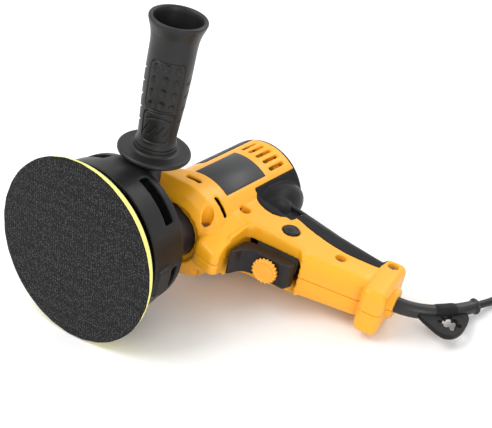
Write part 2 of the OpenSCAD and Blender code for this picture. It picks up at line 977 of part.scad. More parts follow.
module shroud() lie() {
  depth = shroud_rear_y - shroud_front_y;
  collar_r = neck_r + 4;
  color("#2b2b2d")
    difference() {
      union() {
        along_y(0, shroud_front_y)
          difference() {
            cylinder(r1 = shroud_front_r, r2 = shroud_rear_r, h = depth, $fn = 96);
            translate([0, 0, -1])
              cylinder(r1 = shroud_front_r - shroud_wall, r2 = shroud_rear_r - shroud_wall,
                h = depth - 2.5 + 1);
          }
        rod_y(0, shroud_rear_y - 3, collar_r, 13);
        intersection() {
          along_y(0, shroud_front_y + 3)
            rotate(-lug_angle)
              translate([50, -lug_w / 2, 0])
                cube([shroud_front_r + 1 - 50, lug_w, lug_len]);
          tube_y(0, shroud_front_y, shroud_front_r + 2, shroud_rear_r - 3, depth);
        }
        translate([-8, shroud_rear_y, -collar_r - 7])
          cube([16, 9, 12]);
      }
      rod_y(0, shroud_front_y, neck_r + 0.1, 60);
      along_y(0, shroud_rear_y - 17)
        for (k = [0:slot_count - 1])
          rotate(-(first_slot_angle + k * 360 / slot_count))
            slot_sector();
      translate([-0.8, shroud_rear_y + 0.2, -collar_r - 9])
        cube([1.6, 12, 14]);
      translate([-10, shroud_rear_y + 5, -collar_r - 4])
        rotate([0, 90, 0])
          cylinder(r = 2, h = 20);
    }
}

// One air slot, cut through the shroud's wall over slot_angle.
module slot_sector() {
  half = slot_angle / 2;
  linear_extrude(10)
    polygon([
      [35, -35 * tan(half)], [90 * cos(half), -90 * sin(half)], [90, 0],
      [90 * cos(half), 90 * sin(half)], [35, 35 * tan(half)]
    ]);
}

module shroud_screw() lie() {
  collar_r = neck_r + 4;
  color("#b0b3b7")
    translate([-11, shroud_rear_y + 5, -collar_r - 4])
      rotate([0, 90, 0]) {
        cylinder(r = 1.95, h = 21);
        difference() {
          translate([0, 0, -0.4])
            cylinder(r = 3.5, h = 3.2);
          translate([0, 0, -1])
            cylinder(r = 1.7, h = 2.4, $fn = 6);
        }
      }
}

// ---- Side handle ----

module handle_flange() lie() {
  base = boss_top;
  color("#2a2a2c")
    translate([0, handle_y, 0])
      difference() {
        union() {
          translate([0, 0, base])
            cylinder(r = boss_r + 3, h = flange_z - base);
          translate([0, 0, flange_z - 4.5])
            cylinder(r1 = boss_r + 5, r2 = flange_r - 6, h = 2.6);
          translate([0, 0, flange_z])
            rotate_extrude()
              union() {
                translate([0, -2])
                  square([flange_r - 2, 4]);
                translate([flange_r - 2, 0])
                  circle(2);
              }
          translate([0, 0, flange_z + 2 - eps])
            cylinder(r1 = 21, r2 = 19, h = 2);
          translate([0, 0, flange_z + 4 - 2 * eps])
            cylinder(r = 17, h = 5);
          translate([0, 0, flange_z + 9 - 3 * eps])
            cylinder(r = 10, h = 16);
        }
        translate([0, 0, base - 1])
          cylinder(r = stud_r, h = 60);
      }
}

// The handle's outline: radius against height above the flange.
function grip_profile(n) = [for (k = [0:n])
  let (t = k / n, h = 9 + (handle_len - 12) * t)
  [14.9 + 3.1 * sin(min(1, t * 1.6) * 90) + (handle_mouth_r - 18.3) * pow(max(0, (t - 0.78) / 0.22), 1.6), h]];

module handle_grip() lie() {
  outline = concat(
    grip_profile(24),
    [[handle_mouth_r, handle_len - 2.4], [handle_mouth_r, handle_len - 0.6],
     [handle_mouth_r - 0.6, handle_len], [handle_mouth_r - 2.6, handle_len],
     [handle_mouth_r - 4, handle_len - 3], [14.6, handle_len - 22], [12.6, 32], [10, 28], [10, 9]]
  );
  color("#2d2d2f")
    translate([0, handle_y, flange_z])
      rotate_extrude()
        polygon(outline);
}

module handle_stud() lie() {
  color("#b9bcc0")
    translate([0, handle_y, boss_top - 22]) {
      cylinder(r = stud_r, h = 22 + flange_z - boss_top + 25);
      translate([0, 0, -1.2])
        cylinder(r1 = stud_r - 1.2, r2 = stud_r, h = 1.2);
    }
}

// ---- Trigger, dial, button and switch ----

module trigger() lie() {
  color("#3a3638")
    difference() {
      union() {
        translate([0, 0, -trigger_half_w])
          linear_extrude(2 * trigger_half_w)
            polygon([
              [80.6, 90], [81.6, 87.2], [83, 86.8], [84.4, 90], [86.4, 96.5], [89.6, 101],
              [94, 103.3], [112, 106], [121.6, 107], [124, 108.6], [125.6, 116.6],
              [122.6, 119.4], [84, 112.8], [80.2, 108]
            ]);
        translate(stem_at)
          rotate([-90, 0, grip_rake])
            cylinder(r = stem_r, h = stem_len);
      }
      dial_axle(2.55, 4);
    }
}

// The dial's axle, drawn from the dial's seat inwards.
module dial_axle(r, len) {
  translate(dial_at)
    rotate([-90, 0, grip_rake])
      cylinder(r = r, h = len + 2);
}

module speed_dial() lie() {
  ridges = 20;
  color("#fbae33") {
    translate(dial_at)
      rotate([90, 0, grip_rake])
        translate([0, 0, 0.7])
          difference() {
            union() {
              cylinder(r = dial_d / 2, h = dial_t - 0.8);
              translate([0, 0, dial_t - 0.8])
                cylinder(r1 = dial_d / 2 - 0.3, r2 = dial_d / 2 - 1.1, h = 0.8);
            }
            for (k = [0:ridges - 1])
              rotate(k * 360 / ridges)
                translate([dial_d / 2 + 0.5, 0, -1])
                  cylinder(r = 1.3, h = 8, $fn = 16);
          }
    translate(dial_at)
      rotate([-90, 0, grip_rake])
        translate([0, 0, -1])
          cylinder(r = 2.5, h = 5.5);
  }
}

module lock_button() lie() {
  color("#33383a")
    translate([lock_at.x, lock_at.y, 0]) {
      translate([0, 0, lock_top - 5])
        cylinder(r = lock_d / 2, h = 4.2);
      translate([0, 0, lock_top - 0.8 - eps])
        cylinder(r1 = lock_d / 2, r2 = lock_d / 2 - 1.6, h = 0.8);
      translate([0, 0, 8])
        cylinder(r = 2.5, h = lock_top - 5 - 8 + eps);
    }
}

module switch_body() lie() {
  color("#1f3a4a")
    difference() {
      translate(stem_at)
        rotate([0, 0, grip_rake])
          difference() {
            translate([-switch_w / 2, switch_y, -switch_half_w])
              cube([switch_w, switch_depth, 2 * switch_half_w]);
            rotate([-90, 0, 0])
              cylinder(r = stem_r + run_gap, h = stem_len + trigger_travel + 1);
          }
      translate([lock_at.x, lock_at.y, 8 - lock_travel - 0.5])
        cylinder(r = 2.55, h = 20);
    }
}

module suppressor() lie() {
  color("#c8b25a")
    translate([142, 150, -6])
      rotate([0, 0, grip_rake])
        difference() {
          translate([-11, -2, -5])
            cube([17, 11, 10]);
          for (x = [-9, 4])
            translate([x, -3, -1])
              cube([1, 2, 2]);
        }
}

// ---- Cord ----

module butt_frame() {
  translate(butt_mid)
    rotate([0, 0, grip_rake])
      children();
}

module cord_clamp() lie() {
  color("#2b2b2d")
    butt_frame()
      difference() {
        translate([-butt_len / 2 - 2, -12, cord_d / 2 - 1])
          cube([8, 24, 4.5]);
        rotate([0, 90, 0])
          translate([0, 0, -30])
            cylinder(r = cord_d / 2, h = 60);
        for (y = [-8, 8])
          translate([-butt_len / 2 + 2, y, 0])
            cylinder(r = 1.6, h = 20);
      }
}

module cord_clamp_screws() lie() {
  color("#8d9094")
    butt_frame()
      for (y = [-8, 8])
        translate([-butt_len / 2 + 2, y, -6])
          difference() {
            union() {
              cylinder(r = 1.55, h = 12.5 + cord_d / 2 - 2.9);
              translate([0, 0, 6 + cord_d / 2 + 3.5])
                cylinder(r = 2.8, h = 1.8);
            }
            translate([-2.2, -0.4, 6 + cord_d / 2 + 4.6])
              cube([4.4, 0.8, 2]);
          }
}

// The cord's route on the table, in the row's frame.
cord_start = [178, 97, 8];
cord_start_dir = [0.32, 0.93, -0.18];
cord_points = [
  [178, 97, 8], [180, 104, 6.4], [183, 114, 4.4], [186, 126, 3.3], [188, 140, 3.1],
  [189, 156, 3.1], [189, 172, 3.1]
];
coil_at = [234, 180, 0];
coil_out_r = 48.2;
coil_in_r = 19;
coil_h = 12.9;
tail_points = [
  [279, 174, 9.4], [279, 164, 9.8], [278, 154, 11.6], [276, 145, 14.6], [274, 137, 16.8],
  [273, 130, 17.4]
];
plug_at = [273, 130, 17.4];
plug_angle = -97;

function unit(v) = v / norm(v);

// Points on a smooth curve through the given ones, n steps to each stretch.
function smooth(p, n) = concat([for (k = [0:len(p) - 2], j = [0:n - 1])
  let (
    a = p[max(k - 1, 0)], b = p[k], c = p[k + 1], d = p[min(k + 2, len(p) - 1)], t = j / n
  )
  b + t * (c - a) / 2 + t * t * (a - 2.5 * b + 2 * c - 0.5 * d)
    + t * t * t * (-0.5 * a + 1.5 * b - 1.5 * c + 0.5 * d)], [p[len(p) - 1]]);

// A round tube swept along points, with a radius for each.
module sweep(p, r, sides) {
  n = len(p);
  dirs = [for (k = [0:n - 1]) unit(p[min(k + 1, n - 1)] - p[max(k - 1, 0)])];
  rings = [for (k = [0:n - 1], j = [0:sides - 1])
    let (
      across = unit(cross(dirs[k], [0, 0, 1])), over = cross(across, dirs[k]),
      a = 360 * j / sides
    )
    p[k] + r[k] * (cos(a) * across + sin(a) * over)];
  sides_of = [for (k = [0:n - 2], j = [0:sides - 1])
    let (a = k * sides + j, b = k * sides + (j + 1) % sides)
    [a, b, b + sides, a + sides]];
  polyhedron(rings, concat(sides_of, [[for (j = [0:sides - 1]) sides - 1 - j]],
    [[for (j = [0:sides - 1]) (n - 1) * sides + j]]));
}

function bezier(a, b, c, d, t) =
  (1 - t) * (1 - t) * (1 - t) * a + 3 * (1 - t) * (1 - t) * t * b + 3 * (1 - t) * t * t * c
  + t * t * t * d;

// The strain relief bends from the butt's collar to where the cord starts.
boot_from = placed(butt_mid + (butt_len / 2 + exit_collar) * grip_axis);
boot_dir = turned(grip_axis);
function boot_point(t) = bezier(boot_from, boot_from + boot_len * 0.4 * boot_dir,
  cord_start - boot_len * 0.3 * unit(cord_start_dir), cord_start, t);
boot_rings = 16;
boot_path = [for (k = [0:boot_rings]) boot_point(k / boot_rings)];
boot_radii = [for (k = [0:boot_rings]) let (t = k / boot_rings)
  k >= boot_rings - 1 ? boot_r + 0.2 : boot_r - 1.3 * t];

module strain_relief() {
  color("#2b2b2d")
    union() {
      sweep(boot_path, boot_radii, 12);
      lie()
        boot_root();
    }
}

module boot_root() {
  translate(butt_mid)
    rotate([0, 0, grip_rake])
      rotate([0, 90, 0]) {
        translate([0, 0, butt_len / 2 - 8])
          cylinder(r = boot_r - 1.4, h = 8 + exit_collar);
        translate([0, 0, butt_len / 2 - 3])
          cylinder(r = boot_r + 2, h = 1.6);
      }
}

// The rubber key holder: a sleeve on the strain relief with a flat tab in the side plane.
tab_t = 4;
tab_hole_at = [240, 165];
module key_holder() {
  sleeve = [for (k = [0:5]) boot_point(0.42 + k * 0.05)];
  color("#262628")
    difference() {
      union() {
        lie()
          difference() {
            translate([0, 0, -tab_t / 2])
              linear_extrude(tab_t)
                difference() {
                  polygon([
                    [214, 163], [216, 157], [222, 153], [240, 148], [247, 149], [252, 156],
                    [253, 166], [249, 182], [245, 188], [240, 190], [232, 184], [222, 172]
                  ]);
                  translate(tab_hole_at)
                    polygon([for (k = [0:9]) let (r = k % 2 == 0 ? 8.2 : 3.6, a = k * 36 + 20)
                      [r * cos(a), r * sin(a)]]);
                }
          }
        sweep(sleeve, [for (k = [0:5]) boot_r + 1.2], 12);
      }
      sweep(boot_path, boot_radii, 12);
    }
}

module cord() {
  route = smooth(cord_points, 2);
  color("#2e2e30")
    sweep(route, [for (q = route) cord_d / 2], 10);
}

module cord_coil() {
  round_r = 3;
  color("#2e2e30")
    translate(coil_at)
      rotate_extrude($fn = 72)
        union() {
          translate([coil_in_r + round_r, 0])
            square([coil_out_r - coil_in_r - 2 * round_r, coil_h]);
          translate([coil_in_r, round_r])
            square([coil_out_r - coil_in_r, coil_h - 2 * round_r]);
          for (x = [coil_in_r + round_r, coil_out_r - round_r], z = [round_r, coil_h - round_r])
            translate([x, z])
              circle(round_r, $fn = 24);
        }
}

module cord_tail() {
  route = smooth(tail_points, 2);
  color("#2e2e30")
    sweep(route, [for (q = route) cord_d / 2], 10);
}

plug_r = 17.4;
plug_len = 40;
pin_r = 2.4;
pin_len = 17;
pin_pitch = 19;
// The thinner root of each pin, moulded into the plug and showing for a millimetre.
pin_root_r = 2.1;
pin_root_len = 5;

module plug_frame() {
  translate(plug_at)
    rotate([0, 0, plug_angle])
      children();
}

module plug() {
  color("#29292b")
    plug_frame()
      difference() {
        union() {
          rotate([0, 90, 0])
            cylinder(r1 = 4.6, r2 = 8.5, h = 15);
          rotate([0, 90, 0])
            rotate_extrude()
              difference() {
                translate([0, 13])
                  square([plug_r, plug_len - 13]);
                translate([plug_r - 4, 17])
                  difference() {
                    translate([0, -5])
                      square(5);
                    circle(4);
                  }
              }
        }
        for (y = [-0.5, 0.5])
          translate([plug_len - 4, y * pin_pitch, 0])
            rotate([0, 90, 0])
              cylinder(r = pin_root_r, h = 5);
        for (side = [-1, 1])
          translate([16, side * (plug_r + 1.5), 0])
            cylinder(r = 5, h = 60, center = true);
      }
}

module plug_pins() {
  color("#c6c8ca")
    plug_frame()
      for (y = [-0.5, 0.5])
        translate([plug_len - 4, y * pin_pitch, 0])
          rotate([0, 90, 0]) {
            cylinder(r = pin_root_r, h = pin_root_len + eps);
            translate([0, 0, pin_root_len])
              cylinder(r = pin_r, h = pin_len);
            translate([0, 0, pin_root_len + pin_len - eps])
              cylinder(r1 = pin_r, r2 = pin_r - 1, h = 1);
          }
}

hook_face();
foam_pad();
backing_plate();
spindle();
front_bearing();
rear_bearing();
drive_gear();
gear_case();
gear_case_screws();
bearing_plate();
armature_shaft();
armature_core();
armature_windings();
commutator();
cooling_fan();
motor_front_bearing();
motor_rear_bearing();
stator_core();
field_coils();
brush_holders();
carbon_brushes();
brush_springs();
left_housing();
right_housing();
housing_screws();
label_plates();
rear_cap();
grip_backstrap();
shroud();
shroud_screw();
handle_flange();
handle_grip();
handle_stud();
trigger();
speed_dial();
lock_button();
switch_body();
suppressor();
cord_clamp();
cord_clamp_screws();
strain_relief();
key_holder();
cord();
cord_coil();
cord_tail();
plug();
plug_pins();
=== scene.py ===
import json
import math

import bmesh
import bpy
import numpy as np
from bpy.props import FloatProperty, FloatVectorProperty, IntProperty, PointerProperty
from mathutils import Matrix, Vector
from mathutils.bvhtree import BVHTree


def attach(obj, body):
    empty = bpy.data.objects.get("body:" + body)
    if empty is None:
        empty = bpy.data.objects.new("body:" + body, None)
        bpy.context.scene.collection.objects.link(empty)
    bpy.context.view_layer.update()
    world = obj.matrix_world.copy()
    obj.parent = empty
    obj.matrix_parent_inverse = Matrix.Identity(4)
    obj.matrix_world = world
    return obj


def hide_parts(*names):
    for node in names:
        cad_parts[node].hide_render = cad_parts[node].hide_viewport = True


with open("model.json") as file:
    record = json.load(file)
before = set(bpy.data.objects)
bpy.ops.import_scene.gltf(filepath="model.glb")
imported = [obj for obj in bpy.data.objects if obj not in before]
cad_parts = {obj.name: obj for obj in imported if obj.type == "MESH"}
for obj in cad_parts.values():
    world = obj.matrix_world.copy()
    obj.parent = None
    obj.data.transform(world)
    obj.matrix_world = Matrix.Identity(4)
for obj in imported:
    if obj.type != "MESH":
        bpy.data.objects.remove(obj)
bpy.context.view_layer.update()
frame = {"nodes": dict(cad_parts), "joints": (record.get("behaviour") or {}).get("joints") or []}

bl_info = {
    "name": "Rotary polisher",
    "version": (1, 0, 0),
    "blender": (4, 5, 0),
    "location": "View3D > Sidebar > Polisher",
    "description": "Builds the skin, the soft parts, the cord and the stage of a rotary polisher",
    "category": "Object",
}

MM = 0.001

# ---- The tool's own frame: y along the spindle, x along the grip, z out of the side handle ----

JOINTS = {joint["name"]: joint for joint in frame["joints"]}
SPINDLE_POS_Y = 60
TOOL_Y = Vector(JOINTS["spindle_spin"]["axis"]).normalized()
TOOL_Z = -Vector(JOINTS["lock_button_press"]["axis"]).normalized()
TOOL_X = TOOL_Y.cross(TOOL_Z)
TOOL_ORIGIN = Vector(JOINTS["spindle_spin"]["pos_m"]) - TOOL_Y * SPINDLE_POS_Y * MM
TOOL = Matrix.Translation(TOOL_ORIGIN) @ Matrix((TOOL_X, TOOL_Y, TOOL_Z)).transposed().to_4x4()
TOOL_MM = TOOL @ Matrix.Scale(MM, 4)
RAKE = math.radians(12)
GRIP_AXIS = Vector((math.cos(RAKE), math.sin(RAKE), 0))
PULL_AXIS = Vector((-math.sin(RAKE), math.cos(RAKE), 0))


def tool_point(x, y, z):
    """A point of the tool's frame, given in millimetres, in the row frame."""
    return TOOL_MM @ Vector((x, y, z))


def axis_frame(centre, axis, side):
    """The matrix that stands a shape drawn along z at centre, along axis, with its x towards side."""
    z = Vector(axis).normalized()
    x = (Vector(side) - z * Vector(side).dot(z)).normalized()
    turn = Matrix((x, z.cross(x), z)).transposed().to_4x4()
    return TOOL_MM @ Matrix.Translation(Vector(centre)) @ turn


# ---- Meshes ----


def mesh_object(name, verts, faces):
    mesh = bpy.data.meshes.new(name)
    mesh.from_pydata([tuple(v) for v in verts], [], faces)
    mesh.update()
    made = bpy.data.objects.new(name, mesh)
    bpy.context.scene.collection.objects.link(made)
    return made


def tidy_normals(made, angle=35):
    """Points the faces outwards and keeps edges sharper than the angle crisp."""
    bm = bmesh.new()
    bm.from_mesh(made.data)
    bmesh.ops.recalc_face_normals(bm, faces=bm.faces)
    bm.to_mesh(made.data)
    bm.free()
    made.data.shade_smooth()
    made.data.set_sharp_from_angle(angle=math.radians(angle))


def dress(made, material, nodes=(), angle=60, body="machine"):
    """Gives a piece its material and its body, and hides the CAD nodes that it stands for."""
    if angle:
        tidy_normals(made, angle)
    made.data.materials.clear()
    made.data.materials.append(material)
    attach(made, body)
    if nodes:
        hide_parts(*nodes)
    return made


def ring_points(outline, matrix, steps, radius_of):
    """The points of the rings that an outline of (radius, height) turns out."""
    turns = [2 * math.pi * k / steps for k in range(steps)]
    made = []
    for radius, height in outline:
        for a in turns:
            r = radius_of(radius, height, a) if radius_of else radius
            made.append(matrix @ Vector((r * math.cos(a), r * math.sin(a), height)))
    return made


def ring_faces(first, rows, steps, closed=False):
    """The faces between rings of points, the first ring starting at point first."""
    faces = []
    for row in range(rows if closed else rows - 1):
        low, high = first + row * steps, first + (row + 1) % rows * steps
        for k in range(steps):
            j = (k + 1) % steps
            faces.append((low + k, low + j, high + j, high + k))
    return faces


def end_fans(first, rows, steps, start, end):
    """The fans that close the first and the last ring onto the points start and end."""
    last = first + (rows - 1) * steps
    faces = [(start, first + (k + 1) % steps, first + k) for k in range(steps)]
    return faces + [(end, last + k, last + (k + 1) % steps) for k in range(steps)]


def lathe(name, outline, matrix, steps=128, radius_of=None):
    """A closed turned shape. outline is (radius, height) in millimetres, from one end to the other."""
    verts = [matrix @ Vector((0, 0, outline[0][1]))] + ring_points(outline, matrix, steps, radius_of)
    verts.append(matrix @ Vector((0, 0, outline[-1][1])))
    rows = len(outline)
    return mesh_object(name, verts, end_fans(1, rows, steps, 0, len(verts) - 1) + ring_faces(1, rows, steps))


def turned_ring(name, outline, matrix, steps=128, radius_of=None):
    """A closed ring turned from a closed outline of (radius, height) points."""
    verts = ring_points(outline, matrix, steps, radius_of)
    return mesh_object(name, verts, ring_faces(0, len(outline), steps, closed=True))


def arc(centre, radius, start, end, count):
    """Points on an arc of an outline, from one angle to another in degrees."""
    angles = [math.radians(start + (end - start) * k / count) for k in range(count + 1)]
    return [(centre[0] + radius * math.cos(a), centre[1] + radius * math.sin(a)) for a in angles]


def smooth_path(points, steps):
    """A smooth curve through points, with so many steps to each stretch."""
    p = [Vector(q) for q in points]
    made = []
    for k in range(len(p) - 1):
        a, b, c, d = p[max(k - 1, 0)], p[k], p[k + 1], p[min(k + 2, len(p) - 1)]
        for j in range(steps):
            t = j / steps
            made.append(
                b + t * (c - a) / 2 + t * t * (a - 2.5 * b + 2 * c - 0.5 * d)
                + t * t * t * (-0.5 * a + 1.5 * b - 1.5 * c + 0.5 * d)
            )
    return made + [p[-1]]


def sweep(name, path, radii, sides=32):
    """A closed round tube along a path of row-frame points, with a radius for each."""
    verts, over = [], None
    for k, point in enumerate(path):
        along = (path[min(k + 1, len(path) - 1)] - path[max(k - 1, 0)]).normalized()
        if over is None:
            over = along.cross(Vector((0, 0, 1))).normalized()
        over = (over - along * over.dot(along)).normalized()
        across = along.cross(over)
        for j in range(sides):
            a = 2 * math.pi * j / sides
            verts.append(point + radii[k] * (math.cos(a) * over + math.sin(a) * across))
    verts += [path[0], path[-1]]
    faces = end_fans(0, len(path), sides, len(verts) - 2, len(verts) - 1) + ring_faces(0, len(path), sides)
    return mesh_object(name, verts, faces)


def applied(made):
    """Replaces a piece's mesh with what its modifiers make of it."""
    bpy.context.view_layer.update()
    graph = bpy.context.evaluated_depsgraph_get()
    mesh = bpy.data.meshes.new_from_object(made.evaluated_get(graph))
    made.modifiers.clear()
    made.data = mesh
    return made


def moulded_copy(name, nodes, voxel, passes, factor=0.5, extra=()):
    """One skin round some CAD nodes and extra closed meshes, with the soft edges and blends of a moulding."""
    bm = bmesh.new()
    for node in nodes:
        bm.from_mesh(frame["nodes"][node].data)
    for other in extra:
        bm.from_mesh(other.data)
        bpy.data.objects.remove(other)
    bmesh.ops.remove_doubles(bm, verts=bm.verts, dist=2e-6)
    mesh = bpy.data.meshes.new(name)
    bm.to_mesh(mesh)
    bm.free()
    made = bpy.data.objects.new(name, mesh)
    bpy.context.scene.collection.objects.link(made)
    remesh = made.modifiers.new("skin", "REMESH")
    remesh.mode = "VOXEL"
    remesh.voxel_size = voxel * MM
    smooth = made.modifiers.new("soften", "SMOOTH")
    smooth.factor = factor
    smooth.iterations = passes
    applied(made)
    return made


def cut_away(made, cutter, operation="DIFFERENCE"):
    """Cuts one closed mesh with another and removes the cutter."""
    cut = made.modifiers.new("cut", "BOOLEAN")
    cut.operation = operation
    cut.solver = "EXACT"
    cut.object = cutter
    applied(made)
    bpy.data.objects.remove(cutter)
    return made


def crisp_bevel(node, width, segments=2, angle=40):
    """Rounds the edges of a CAD node that is shown as it is."""
    shown = frame["nodes"][node]
    weld = shown.modifiers.new("weld", "WELD")
    weld.merge_threshold = 4e-6
    bevel = shown.modifiers.new("edges", "BEVEL")
    bevel.width = width * MM
    bevel.segments = segments
    bevel.limit_method = "ANGLE"
    bevel.angle_limit = math.radians(angle)
    bevel.harden_normals = False


# ---- Materials ----


class Paint:
    """Builds one node material round a Principled shader, from object coordinates in millimetres."""

    def __init__(self, name, colour, roughness, metallic=0.0):
        self.material = bpy.data.materials.new(name)
        self.material.use_nodes = True
        self.tree = self.material.node_tree
        self.shader = self.tree.nodes["Principled BSDF"]
        self.shader.inputs["Base Color"].default_value = (*colour, 1)
        self.shader.inputs["Roughness"].default_value = roughness
        self.shader.inputs["Metallic"].default_value = metallic
        place = self.tree.nodes.new("ShaderNodeTexCoord")
        scale = self.tree.nodes.new("ShaderNodeMapping")
        scale.inputs["Scale"].default_value = (1 / MM, 1 / MM, 1 / MM)
        self.tree.links.new(place.outputs["Object"], scale.inputs["Vector"])
        self.place = scale.outputs["Vector"]
        self.height = None
        self.colour = None

    def noise(self, size, detail=4.0, rough=0.55, stretch=None):
        """Noise whose grains are about size millimetres across."""
        node = self.tree.nodes.new("ShaderNodeTexNoise")
        node.inputs["Scale"].default_value = 1 / size
        node.inputs["Detail"].default_value = detail
        node.inputs["Roughness"].default_value = rough
        source = self.place
        if stretch:
            squeeze = self.tree.nodes.new("ShaderNodeMapping")
            squeeze.inputs["Scale"].default_value = stretch
            self.tree.links.new(source, squeeze.inputs["Vector"])
            source = squeeze.outputs["Vector"]
        self.tree.links.new(source, node.inputs["Vector"])
        return node.outputs["Fac"]

    def cells(self, size, feature="F1", jitter=1.0):
        node = self.tree.nodes.new("ShaderNodeTexVoronoi")
        node.feature = feature
        node.inputs["Scale"].default_value = 1 / size
        node.inputs["Randomness"].default_value = jitter
        self.tree.links.new(self.place, node.inputs["Vector"])
        return node.outputs["Distance"]

    def bands(self, size, direction="X", profile="SIN", wobble=0.0):
        node = self.tree.nodes.new("ShaderNodeTexWave")
        node.bands_direction = direction
        node.wave_profile = profile
        node.inputs["Scale"].default_value = 0.314 / size
        node.inputs["Distortion"].default_value = wobble
        node.inputs["Detail Scale"].default_value = 1.5
        self.tree.links.new(self.place, node.inputs["Vector"])
        return node.outputs["Fac"]

    def ranged(self, value, low, high, new_low, new_high):
        node = self.tree.nodes.new("ShaderNodeMapRange")
        for socket, number in zip(
            ("From Min", "From Max", "To Min", "To Max"), (low, high, new_low, new_high)
        ):
            node.inputs[socket].default_value = number
        self.tree.links.new(value, node.inputs["Value"])
        return node.outputs["Result"]

    def sum(self, first, second, operation="ADD"):
        node = self.tree.nodes.new("ShaderNodeMath")
        node.operation = operation
        self.tree.links.new(first, node.inputs[0])
        self.tree.links.new(second, node.inputs[1])
        return node.outputs["Value"]

    def tinted(self, value, colour):
        """Blends the base colour towards another where value is 1."""
        node = self.tree.nodes.new("ShaderNodeMix")
        node.data_type = "RGBA"
        if self.colour is None:
            node.inputs["A"].default_value = self.shader.inputs["Base Color"].default_value
        else:
            self.tree.links.new(self.colour, node.inputs["A"])
        node.inputs["B"].default_value = (*colour, 1)
        self.tree.links.new(value, node.inputs["Factor"])
        self.colour = node.outputs["Result"]
        return self

    def rough(self, value):
        self.tree.links.new(value, self.shader.inputs["Roughness"])
        return self

    def bump(self, value, depth, strength=1.0):
        """Adds relief of depth millimetres."""
        node = self.tree.nodes.new("ShaderNodeBump")
        node.inputs["Distance"].default_value = depth * MM
        node.inputs["Strength"].default_value = strength
        self.tree.links.new(value, node.inputs["Height"])
        if self.height is not None:
            self.tree.links.new(self.height, node.inputs["Normal"])
        self.height = node.outputs["Normal"]
        return self

    def worn_edges(self, colour, amount=0.35):
        """Lightens the sharp convex edges, where hands and tables have rubbed."""
        node = self.tree.nodes.new("ShaderNodeNewGeometry")
        edge = self.ranged(node.outputs["Pointiness"], 0.52, 0.6, 0.0, amount)
        return self.tinted(self.sum(edge, self.noise(2.5), "MULTIPLY"), colour)

    def done(self, **sockets):
        for socket, value in sockets.items():
            self.shader.inputs[socket.replace("_", " ")].default_value = value
        if self.colour is not None:
            self.tree.links.new(self.colour, self.shader.inputs["Base Color"])
        if self.height is not None:
            self.tree.links.new(self.height, self.shader.inputs["Normal"])
        return self.material


def moulded_plastic(name, colour, roughness, grain=0.35, depth=0.03, edge=None):
    """Moulded plastic: a spark-eroded grain, faint flow clouds and slightly rubbed edges."""
    paint = Paint(name, colour, roughness)
    cloud = paint.ranged(paint.noise(24, 3), 0.3, 0.7, 0.0, 0.22)
    paint.tinted(cloud, [c * 0.86 for c in colour])
    if edge:
        paint.worn_edges(edge)
    grain_value = paint.noise(grain, 3, 0.6)
    paint.bump(paint.noise(9, 2), 0.02).bump(grain_value, depth)
    paint.rough(paint.ranged(paint.sum(grain_value, paint.noise(14)), 0.7, 1.3,
                             roughness - 0.07, roughness + 0.09))
    return paint


def metal(name, colour, roughness, stretch=(1, 1, 1), size=0.5, depth=0.01):
    """Machined metal with fine tool marks and dulled patches."""
    paint = Paint(name, colour, roughness, metallic=1.0)
    marks = paint.noise(size, 5, 0.65, stretch)
    paint.tinted(paint.ranged(paint.noise(7, 4), 0.35, 0.7, 0, 0.35), [c * 0.7 for c in colour])
    paint.bump(marks, depth)
    paint.rough(paint.ranged(paint.sum(marks, paint.noise(5)), 0.7, 1.3, roughness - 0.08, roughness + 0.12))
    return paint


def rubber(name, colour, roughness, grain=0.5, depth=0.04, dust=(0.03, 0.029, 0.028)):
    """Soft rubber: a fine matt skin with a little dust in its hollows."""
    paint = Paint(name, colour, roughness)
    fine = paint.noise(grain, 4, 0.65)
    paint.tinted(paint.ranged(paint.noise(11, 5), 0.45, 0.8, 0, 0.3), dust)
    paint.bump(paint.noise(4, 2), 0.02).bump(fine, depth)
    paint.rough(paint.ranged(paint.sum(fine, paint.noise(8)), 0.7, 1.3, roughness - 0.08, roughness + 0.1))
    return paint


def yellow_plastic(colour):
    paint = moulded_plastic("yellow nylon", colour, 0.36, 0.3, 0.014, (1.0, 0.66, 0.16))
    return paint.done(Coat_Weight=0.12, Coat_Roughness=0.3, Specular_IOR_Level=0.45)


def black_plastic(colour):
    paint = moulded_plastic("black nylon", colour, 0.38, 0.4, 0.03, (0.04, 0.04, 0.043))
    return paint.done(Specular_IOR_Level=0.25)


def handle_plastic(colour):
    paint = moulded_plastic("handle nylon", colour, 0.4, 0.5, 0.035, (0.045, 0.045, 0.048))
    return paint.done(Specular_IOR_Level=0.38)


def soft_black(colour):
    paint = rubber("soft black overmould", colour, 0.4, 0.35, 0.02, (0.022, 0.021, 0.023))
    return paint.done(Specular_IOR_Level=0.12, Sheen_Weight=0.01)


def trigger_plastic(colour):
    paint = moulded_plastic("trigger nylon", colour, 0.32, 0.4, 0.02, (0.05, 0.045, 0.047))
    return paint.done(Specular_IOR_Level=0.28, Coat_Weight=0.04)


def dial_plastic(colour):
    paint = moulded_plastic("orange dial", colour, 0.4, 0.3, 0.015, (1.0, 0.7, 0.25))
    return paint.done(Specular_IOR_Level=0.45)


def label_film(colour):
    paint = Paint("label film", colour, 0.4)
    weave = paint.noise(0.25, 2)
    paint.tinted(paint.ranged(paint.noise(30, 2), 0.3, 0.7, 0, 0.5), [c * 1.35 for c in colour])
    paint.bump(weave, 0.008)
    paint.rough(paint.ranged(weave, 0.3, 0.7, 0.34, 0.46))
    return paint.done(Coat_Weight=0.08, Coat_Roughness=0.25, Specular_IOR_Level=0.4)


